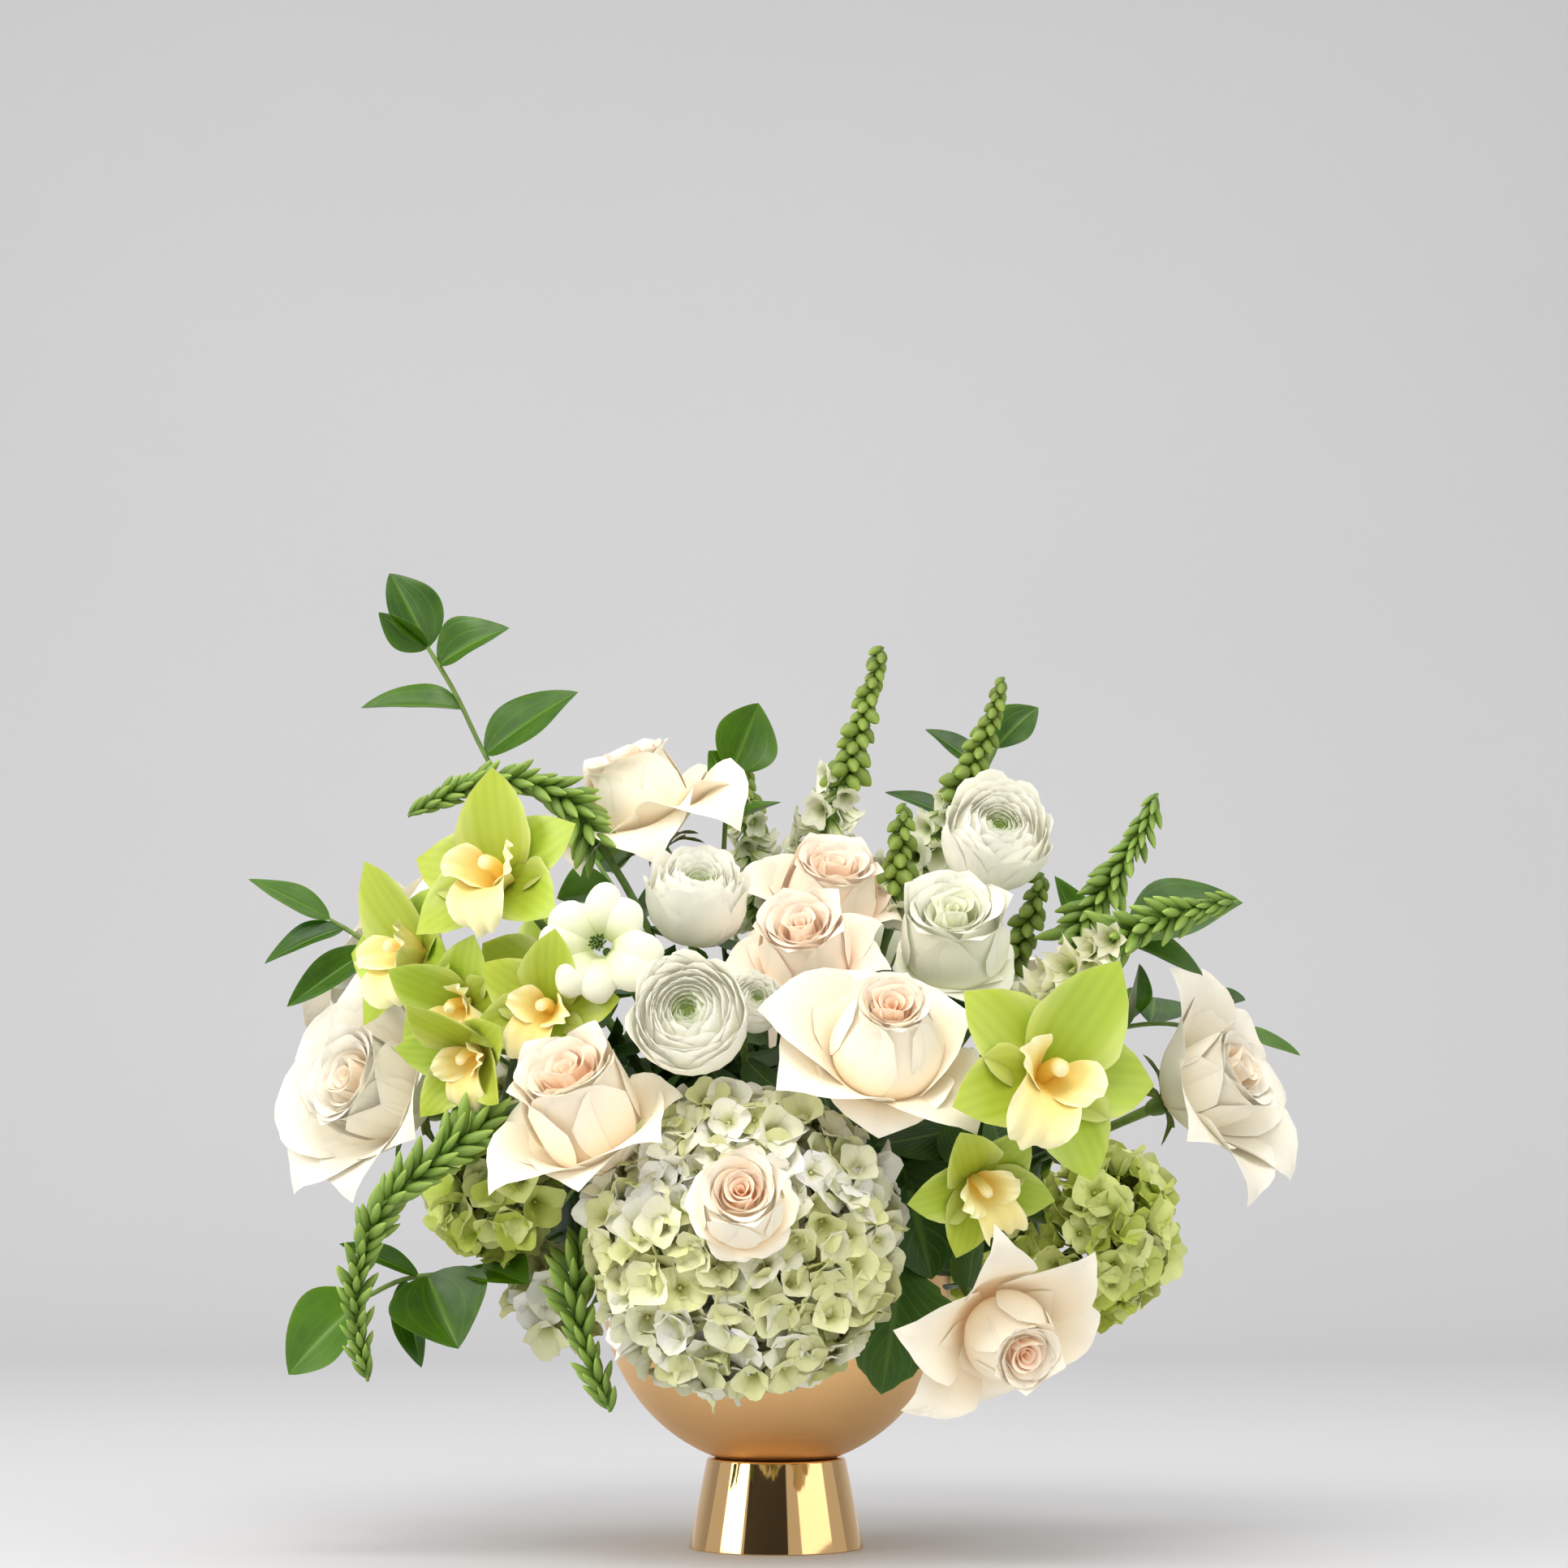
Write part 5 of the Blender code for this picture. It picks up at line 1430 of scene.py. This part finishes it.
SNAPDRAGON_BUDS = copies_of("snapdragon_bud", [bud(f"snapdragon_bud_{i}", 13, 8 - 0.5 * i, 0.4)
                                               for i in range(3)])
SNAPDRAGON_FLOWERS = copies_of("snapdragon_flower", [pouch(f"snapdragon_flower_{i}",
                                                           dice(f"pouch_{i}"), 26 - 2 * i)
                                                     for i in range(3)])
STAR_BUDS = copies_of("star_bud", [bud(f"star_bud_{i}", 20, 5.6 - 0.4 * i, 0.4) for i in range(3)])
STARS = copies_of("star_flower", [star(f"star_flower_{i}", dice(f"star_{i}"), 23) for i in range(2)])

# %% [markdown]
# ### The spikes
#
# Each spike follows a line of a few points, from its tip down to its bare stem. The line is smoothed
# and cut in two: buds go on the upper part and open flowers on the lower. How many there are comes
# from the length, so a long spike is not more thinly set than a short one.

# %% Spikes
SPIKES = {   # the spike's middle line from its tip down to where its bare stem starts
    "snapdragon_tall": [(56, 0, 466), (49, -3, 441), (40, -8, 410), (32, -12, 384), (24, -10, 364),
                        (18, -6, 342)],
    "snapdragon_right": [(120, 8, 451), (112, 6, 425), (100, 3, 398), (88, 0, 376), (78, -3, 360),
                         (70, -5, 342)],
    "snapdragon_short": [(66, -36, 380), (64, -36, 360), (62, -37, 342), (59, -38, 325)],
    "snapdragon_low": [(138, -20, 345), (133, -20, 328), (126, -20, 308), (116, -20, 290)],
    "snapdragon_rear": [(-20, 62, 440), (-19, 62, 410), (-17, 60, 380), (-15, 58, 352),
                        (-12, 54, 330)],
    "ornithogalum_upright": [(198, -16, 387), (188, -20, 365), (176, -26, 345), (164, -32, 328),
                             (154, -36, 312)],
    "ornithogalum_right": [(234, -60, 328), (212, -66, 323), (188, -72, 315), (164, -78, 304),
                           (146, -80, 288), (132, -78, 270)],
    "ornithogalum_drooping": [(-199, -104, 90), (-203, -112, 116), (-202, -122, 146),
                              (-190, -128, 174), (-165, -126, 197), (-140, -118, 216)],
    "ornithogalum_arching": [(-188, -48, 372), (-160, -50, 386), (-130, -50, 389), (-105, -52, 378),
                             (-92, -54, 360)],
    "ornithogalum_at_bowl": [(-80, -118, 76), (-88, -116, 96), (-96, -112, 118), (-98, -107, 137),
                             (-94, -98, 152)],
}
SPIKE_KINDS = {   # the gaps are millimetres of spike for each bud and each open flower
    "snapdragon": dict(buds=SNAPDRAGON_BUDS, bud_finish=SNAPDRAGON_BUD, bud_gap=1.7,
                       flowers=SNAPDRAGON_FLOWERS, flower_finish=SNAPDRAGON_FLOWER, flower_gap=3.4,
                       lean=(0.7, 1.05)),
    "ornithogalum": dict(buds=STAR_BUDS, bud_finish=STAR_BUD, bud_gap=1.35,
                         flowers=STARS, flower_finish=STAR_OPEN, flower_gap=3.0, lean=(0.55, 0.85)),
}
SPIKE_STEPS = 40
OPEN_SHARE = {"snapdragon_tall": 0.42, "snapdragon_right": 0.4, "snapdragon_rear": 0.45,
              "snapdragon_short": 0.25, "snapdragon_low": 0.2, "ornithogalum_right": 0.45}


def smooth_path(points, count):
    """Evenly spaced points on a smooth curve through the given ones."""
    points = np.asarray(points, float)
    gaps = np.concatenate([[0], np.cumsum(np.linalg.norm(np.diff(points, axis=0), axis=1))])
    share = np.linspace(0, gaps[-1], count)
    slopes = np.gradient(points, gaps, axis=0)
    i = np.clip(np.searchsorted(gaps, share, side="right") - 1, 0, len(points) - 2)
    run = (gaps[i + 1] - gaps[i])[:, None]
    t = ((share - gaps[i]) / run[:, 0])[:, None]
    return (points[i] * (1 + 2 * t) * (1 - t) ** 2 + slopes[i] * run * t * (1 - t) ** 2
            + points[i + 1] * t * t * (3 - 2 * t) + slopes[i + 1] * run * t * t * (t - 1))


def path_length(path):
    return np.linalg.norm(np.diff(path, axis=0), axis=1).sum()


def build_spike(name, points):
    path = smooth_path(points, SPIKE_STEPS)
    split = int(SPIKE_STEPS * (1 - OPEN_SHARE.get(name, 0.0)))
    upper, lower = path[:split], path[max(split - 2, 0):]
    kind = SPIKE_KINDS[name.split("_")[0]]
    seed = seed_of(name)
    parts = [grown(name + "_buds", path_mesh(name + "_upper", upper), ALONG_STEM,
                   Copy=kind["buds"], Count=int(path_length(upper) / kind["bud_gap"]),
                   Lean_at_tip=kind["lean"][0], Lean_at_foot=kind["lean"][1], Size_at_tip=0.62,
                   Size_at_foot=1.1, Unevenness=0.16, Seed=seed, Material=kind["bud_finish"])]
    if name in OPEN_SHARE:
        parts.append(grown(name + "_flowers", path_mesh(name + "_lower", lower), ALONG_STEM,
                           Copy=kind["flowers"], Count=int(path_length(lower) / kind["flower_gap"]),
                           Lean_at_tip=0.8, Lean_at_foot=1.15, Size_at_tip=0.6, Size_at_foot=1.0,
                           Unevenness=0.2, Seed=seed + 1, Material=kind["flower_finish"]))
    backwards = unit(np.subtract(points[-1], points[-2]))
    route = np.vstack([path[:-1], stem_route(name, np.array(points[-1], float), backwards)])
    stem = Blossom()
    stem.rod(route, np.interp(np.arange(len(route)), [0, SPIKE_STEPS, 60], [0.9, 2.0, 2.2]), sides=9)
    parts.append(stem.mesh(name + "_stem", [STALK]))
    parts.append(bed_leaves(name, route[SPIKE_STEPS:], 4))
    return show("spike_" + name, joined(name, parts), name)


make_each(build_spike, {name: {"points": points} for name, points in SPIKES.items()})

# %% [markdown]
# ## Ruscus shoots and hydrangea leaves
#
# Ruscus gives the piece its outline: thin green shoots whose pointed, glossy leaves have veins
# running side by side. Each of these leaves is placed on its own, by its foot, its tip, its width
# and the way its upper side looks, because they are what an eye follows round the edge. The two
# hydrangea leaves at the bowl are broad and toothed.

# %% Placed leaves
LEAF_BREADTH = 1.42   # the widths below are of a leaf seen part edge-on
BRANCHES = {
    "ruscus_tall_left": dict(
        stem=[(-186, 0, 470), (-168, 0, 440), (-156, 0, 415), (-140, -4, 385), (-118, -6, 330)],
        leaves=[((-184, 0, 468), (-203, 2, 508), 22, (0.5, -0.8, 0.2)),
                ((-185, 0, 466), (-209, -8, 483), 13, (0.2, -0.7, -0.7)),
                ((-177, 0, 456), (-142, -6, 480), 23, (-0.3, -0.8, 0.5)),
                ((-164, 0, 432), (-219, -4, 438), 19, (0.1, -0.6, 0.8)),
                ((-152, 0, 408), (-106, -10, 446), 24, (-0.4, -0.8, 0.4))]),
    "ruscus_top_middle": dict(
        stem=[(-24, 8, 400), (-26, 8, 384), (-28, 6, 350)],
        leaves=[((-24, 8, 400), (-9, 10, 438), 26, (0.3, -0.9, 0.1)),
                ((-25, 8, 392), (-34, 0, 412), 18, (0.6, -0.7, 0.3)),
                ((-26, 8, 386), (-44, 24, 402), 12, (0.3, -0.6, 0.7)),
                ((-27, 7, 372), (2, 0, 386), 11, (-0.2, -0.5, 0.8))]),
    "ruscus_top_right": dict(
        stem=[(118, 26, 418), (108, 24, 398), (96, 22, 372), (80, 18, 340)],
        leaves=[((117, 26, 414), (138, 24, 440), 19, (-0.5, -0.8, 0.3)),
                ((110, 24, 402), (80, 30, 430), 12, (0.4, -0.8, 0.4)),
                ((104, 24, 390), (140, 20, 386), 17, (0.0, -0.5, 0.9)),
                ((98, 22, 376), (58, 30, 398), 10, (0.4, -0.7, 0.6))]),
    "ruscus_far_left": dict(
        stem=[(-232, -8, 322), (-216, -10, 312), (-196, -12, 296), (-170, -14, 272), (-130, -14, 240)],
        leaves=[((-230, -8, 322), (-274, -14, 344), 14, (0.2, -0.8, 0.6)),
                ((-224, -9, 318), (-266, -24, 303), 15, (0.0, -0.7, 0.7)),
                ((-210, -11, 308), (-252, -30, 277), 13, (0.3, -0.7, 0.6)),
                ((-186, -13, 286), (-210, -30, 276), 15, (0.1, -0.8, 0.5))]),
    "ruscus_low_left": dict(
        stem=[(-206, -84, 128), (-186, -84, 138), (-160, -76, 142), (-132, -60, 149), (-104, -46, 163)],
        leaves=[((-204, -84, 129), (-246, -84, 94), 27, (-0.5, -0.8, 0.3)),
                ((-184, -84, 139), (-174, -98, 96), 12, (-0.3, -0.9, 0.1)),
                ((-172, -80, 142), (-155, -104, 106), 36, (0.1, -0.95, 0.2)),
                ((-176, -82, 141), (-214, -98, 158), 10, (0.0, -0.7, 0.7)),
                ((-148, -72, 149), (-122, -104, 138), 22, (0.2, -0.9, 0.3))]),
    "ruscus_right": dict(
        stem=[(184, 14, 316), (164, 12, 302), (140, 10, 284), (110, 6, 254)],
        leaves=[((183, 14, 315), (243, -2, 336), 34, (-0.1, -0.75, 0.65)),
                ((178, 14, 311), (228, 16, 296), 18, (0.1, -0.6, 0.8)),
                ((162, 12, 300), (150, -6, 346), 17, (0.6, -0.8, 0.0))]),
    "ruscus_rear_right": dict(
        stem=[(238, 44, 264), (205, 48, 270), (165, 50, 262), (120, 44, 235)],
        leaves=[((236, 44, 264), (279, 34, 256), 15, (0.0, -0.3, 0.95)),
                ((220, 46, 268), (250, 74, 290), 22, (-0.3, 0.3, 0.9)),
                ((198, 48, 270), (208, 88, 292), 24, (0.3, 0.5, 0.8)),
                ((182, 49, 267), (196, 30, 300), 20, (0.6, -0.5, 0.6))]),
    "ruscus_rear_left": dict(
        stem=[(-105, 120, 370), (-92, 108, 350), (-74, 92, 322), (-50, 66, 280)],
        leaves=[((-104, 119, 369), (-126, 136, 402), 24, (0.5, 0.4, 0.7)),
                ((-98, 113, 360), (-72, 132, 384), 24, (-0.3, 0.8, 0.5)),
                ((-88, 105, 344), (-122, 116, 346), 22, (0.1, 0.5, 0.85)),
                ((-78, 96, 329), (-58, 122, 344), 24, (-0.2, 0.7, 0.7))]),
    "hydrangea_leaf_middle": dict(
        stem=[(62, -92, 196), (52, -74, 200)],
        leaves=[((62, -92, 196), (78, -110, 140), 44, (0.2, -0.95, 0.2))]),
    "hydrangea_leaf_at_bowl": dict(
        stem=[(62, -100, 148), (54, -84, 160)],
        leaves=[((62, -100, 148), (52, -118, 84), 36, (0.1, -0.98, 0.1))]),
}


def leaf_place(foot, tip, looks):
    """Local +Z from foot to tip, local +Y towards where the upper side looks; metres."""
    along = Vector(np.subtract(tip, foot)).normalized()
    across = along.cross(Vector(looks)).normalized()
    upward = across.cross(along)
    turn = Matrix((-across, upward, along)).transposed()
    if turn.determinant() < 0:
        turn = Matrix((across, upward, along)).transposed()
    return Matrix.Translation(Vector(foot) * MM) @ turn.to_4x4()


def nearest_on(path, spot):
    return path[np.argmin(np.linalg.norm(path - np.asarray(spot, float), axis=1))]


def build_branch(name, stem, leaves):
    rng = dice(name)
    toothed = name.startswith("hydrangea")
    path = smooth_path(stem, 30) if len(stem) > 2 else np.linspace(stem[0], stem[1], 12)
    backwards = unit(np.subtract(stem[-1], stem[-2]))
    route = np.vstack([path[:-1], stem_route(name, np.array(stem[-1], float), backwards)])
    parts = [stem_mesh(name, route, 1.3, swell=0.6)]
    for foot, tip, width, looks in leaves:
        foot = nearest_on(path, foot)
        length = np.linalg.norm(np.subtract(tip, foot))
        blade = Blossom()
        grid = blade_grid(length, width * LEAF_BREADTH, fold=0.16 + rng.uniform(0, 0.14),
                          arch=rng.uniform(0.05, 0.35), twist=rng.uniform(-0.4, 0.4),
                          wave=0.25 if toothed else 0.06, widest=0.45, size=(11, 19),
                          serration=0.12 if toothed else 0.0, phase=rng.uniform(0, 6))
        blade.sheet(grid, 0.5, chance=rng.random(), depth=0.0)
        finish = HYDRANGEA_LEAF if toothed else RUSCUS_LEAF
        parts.append(blade.mesh(name + "_leaf", [finish], leaf_place(foot, tip, looks)))
    parts.append(bed_leaves(name, route[len(path):], 4))
    return show("shoot_" + name, joined(name, parts), name)


make_each(build_branch, BRANCHES)

# %% [markdown]
# ## The bowl and its foot
#
# Both are spun brass. The bowl has a satin skin that blurs what it mirrors, and the foot is
# polished so that it shows the lamps as clean upright bands. The plain frame has few sides, so
# turned meshes with many sides and a rolled rim take their place: a profile of radius and height,
# spun by a Screw modifier.

# %% Metal finishes
def spun_metal_finish(name, colour, dark, roughness, ring_scale, ring_depth):
    """Brass with faint clouds of tarnish and the fine rings that spinning leaves."""
    made, tree, shader = new_material(name)
    place = object_place(tree)
    stretch = node(tree, "ShaderNodeMapping", {"Vector": place, "Scale": (6, 6, ring_scale)})
    rings = noise(tree, stretch.outputs["Vector"], 1.0, 6.0, 0.65)
    cloud = noise(tree, place, 9.0, 4.0)
    dress(tree, shader, rings, ring_depth, 0.0003, Metallic=1.0,
          Base_Color=mixed(tree, between(tree, cloud, 0.3, 0.8), colour, dark),
          Roughness=between(tree, rings, 0.3, 0.7, roughness * 0.9, roughness * 1.15))
    return made


BOWL_METAL = spun_metal_finish("satin_brass", linear(248, 204, 144), linear(240, 194, 132), 0.4,
                               900.0, 0.05)
FOOT_METAL = spun_metal_finish("polished_brass", linear(238, 198, 142), linear(230, 188, 130), 0.06,
                               400.0, 0.01)


def turned_mesh(name, profile, material, steps=144):
    """A closed profile of radius and height in metres, spun about the axis."""
    mesh = bpy.data.meshes.new(name)
    count = len(profile)
    mesh.from_pydata([(r, 0, z) for r, z in profile], [(i, (i + 1) % count) for i in range(count)], [])
    thing = bpy.data.objects.new(name, mesh)
    scene.collection.objects.link(thing)
    screw = thing.modifiers.new("turn", "SCREW")
    screw.steps = screw.render_steps = steps
    screw.use_merge_vertices = True
    screw.merge_threshold = 1e-6
    screw.use_smooth_shade = True
    bpy.context.view_layer.update()
    result = bpy.data.meshes.new_from_object(thing.evaluated_get(bpy.context.evaluated_depsgraph_get()))
    bpy.data.objects.remove(thing)
    edit = bmesh.new()
    edit.from_mesh(result)
    bmesh.ops.remove_doubles(edit, verts=edit.verts, dist=1e-7)
    bmesh.ops.recalc_face_normals(edit, faces=edit.faces)
    edit.to_mesh(result)
    edit.free()
    result.materials.clear()
    result.materials.append(material)
    result.shade_smooth()
    result.set_sharp_from_angle(angle=radians(40))
    return result


def rounded(corner, start, end, radius, count=6):
    """Points round a corner between two directions in a profile."""
    corner, start, end = Vector(corner), Vector(start).normalized(), Vector(end).normalized()
    near, far = corner + start * radius, corner + end * radius
    return [tuple(near.lerp(corner, t).lerp(corner.lerp(far, t), t)) for t in np.linspace(0, 1, count)]


BOWL_LOW, BOWL_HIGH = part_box("bowl")
FOOT_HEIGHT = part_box("foot")[1][2]
BOWL_RADIUS, BOWL_CENTRE_Z, BOWL_WALL, SCREW_HOLE = BOWL_HIGH[0], 0.130, 0.0012, 0.0033
print("bowl radius", round(BOWL_RADIUS, 4), "rim at", round(BOWL_HIGH[2], 4), "m")

# %% [markdown]
# ### The bowl and the foot
#
# The bowl is two arcs about one centre, joined by a rolled lip above and by the edge of the screw's
# hole below. The foot is a cone with a small round at its shoulder and base, because a spun edge is
# never quite sharp and the round is what catches the light.

# %% Bowl and foot
def bowl_profile():
    def arc(radius, top, bottom, count):
        start, end = asin((top - BOWL_CENTRE_Z) / radius), asin((bottom - BOWL_CENTRE_Z) / radius)
        return [(radius * cos(a), BOWL_CENTRE_Z + radius * sin(a)) for a in np.linspace(start, end, count)]
    rim, floor = BOWL_HIGH[2] - 0.0008, BOWL_LOW[2]
    outside = arc(BOWL_RADIUS, rim, floor, 40)
    inside = arc(BOWL_RADIUS - BOWL_WALL, rim, floor + BOWL_WALL, 40)
    lip = [((outside[0][0] + inside[0][0]) / 2 + BOWL_WALL * 0.75 * cos(a),
            rim + 0.0002 + 0.0006 * sin(a)) for a in np.linspace(pi, 0, 9)]
    floor_edge = [(SCREW_HOLE, floor), (SCREW_HOLE, floor + BOWL_WALL)]
    return outside + floor_edge + inside[::-1] + lip


def foot_profile():
    top_radius, base_radius, wall = 0.0355, 0.045, 0.0012
    height, slope = FOOT_HEIGHT, (base_radius - top_radius) / FOOT_HEIGHT
    side = (base_radius - top_radius, -height)
    shoulder = rounded((top_radius, height), (-1, 0), side, 0.0012)
    foot_edge = rounded((base_radius, 0), (-side[0], -side[1]), (-1, 0), 0.0006)
    inner_top = height - wall
    return ([(SCREW_HOLE, height)] + shoulder + foot_edge
            + [(base_radius - wall, 0), (top_radius - wall + slope * wall, inner_top),
               (SCREW_HOLE, inner_top)])


bowl = show("spun_bowl", turned_mesh("spun_bowl", bowl_profile(), BOWL_METAL), "bowl")
foot = show("spun_foot", turned_mesh("spun_foot", foot_profile(), FOOT_METAL), "foot")
print("bowl", len(bowl.data.polygons), "faces, foot", len(foot.data.polygons), "faces")

# %% [markdown]
# ### What stays plain
#
# Foam, felt disc, screw, nut and washer are hidden or seen only from below. Their plain shapes are
# already right, so they are kept and only get a grainy finish that suits what each is made of.

# %% Foam, fastening and base plate keep their shape and get finishes
def grainy_finish(name, light, dark, scale, roughness, depth, metallic=0.0):
    made, tree, shader = new_material(name)
    grain = noise(tree, object_place(tree), scale, 6.0, 0.7)
    dress(tree, shader, grain, 0.5, depth, Roughness=roughness, Metallic=metallic,
          Base_Color=mixed(tree, between(tree, grain, 0.35, 0.7), light, dark))
    return made


CARRIED_OVER = {
    "floral_foam": grainy_finish("wet_foam", linear(44, 84, 50), linear(26, 56, 34), 900.0, 0.9, 0.0008),
    "foot_base_plate": grainy_finish("felt_disc", linear(70, 62, 50), linear(48, 42, 36), 1500.0, 0.95,
                                     0.0003),
    "bowl_screw": grainy_finish("zinc_steel", linear(176, 178, 180), linear(150, 152, 156), 700.0, 0.32,
                                0.00005, metallic=1.0),
    "bowl_nut": grainy_finish("zinc_steel_nut", linear(170, 172, 176), linear(146, 148, 152), 700.0,
                              0.36, 0.00005, metallic=1.0),
    "sealing_washer": grainy_finish("black_rubber", linear(34, 34, 34), linear(22, 22, 22), 900.0, 0.7,
                                    0.0001),
}
for name, finish in CARRIED_OVER.items():
    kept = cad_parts[name]
    for spot in kept.material_slots:
        spot.material = finish
    print(name, "has", finish.name)
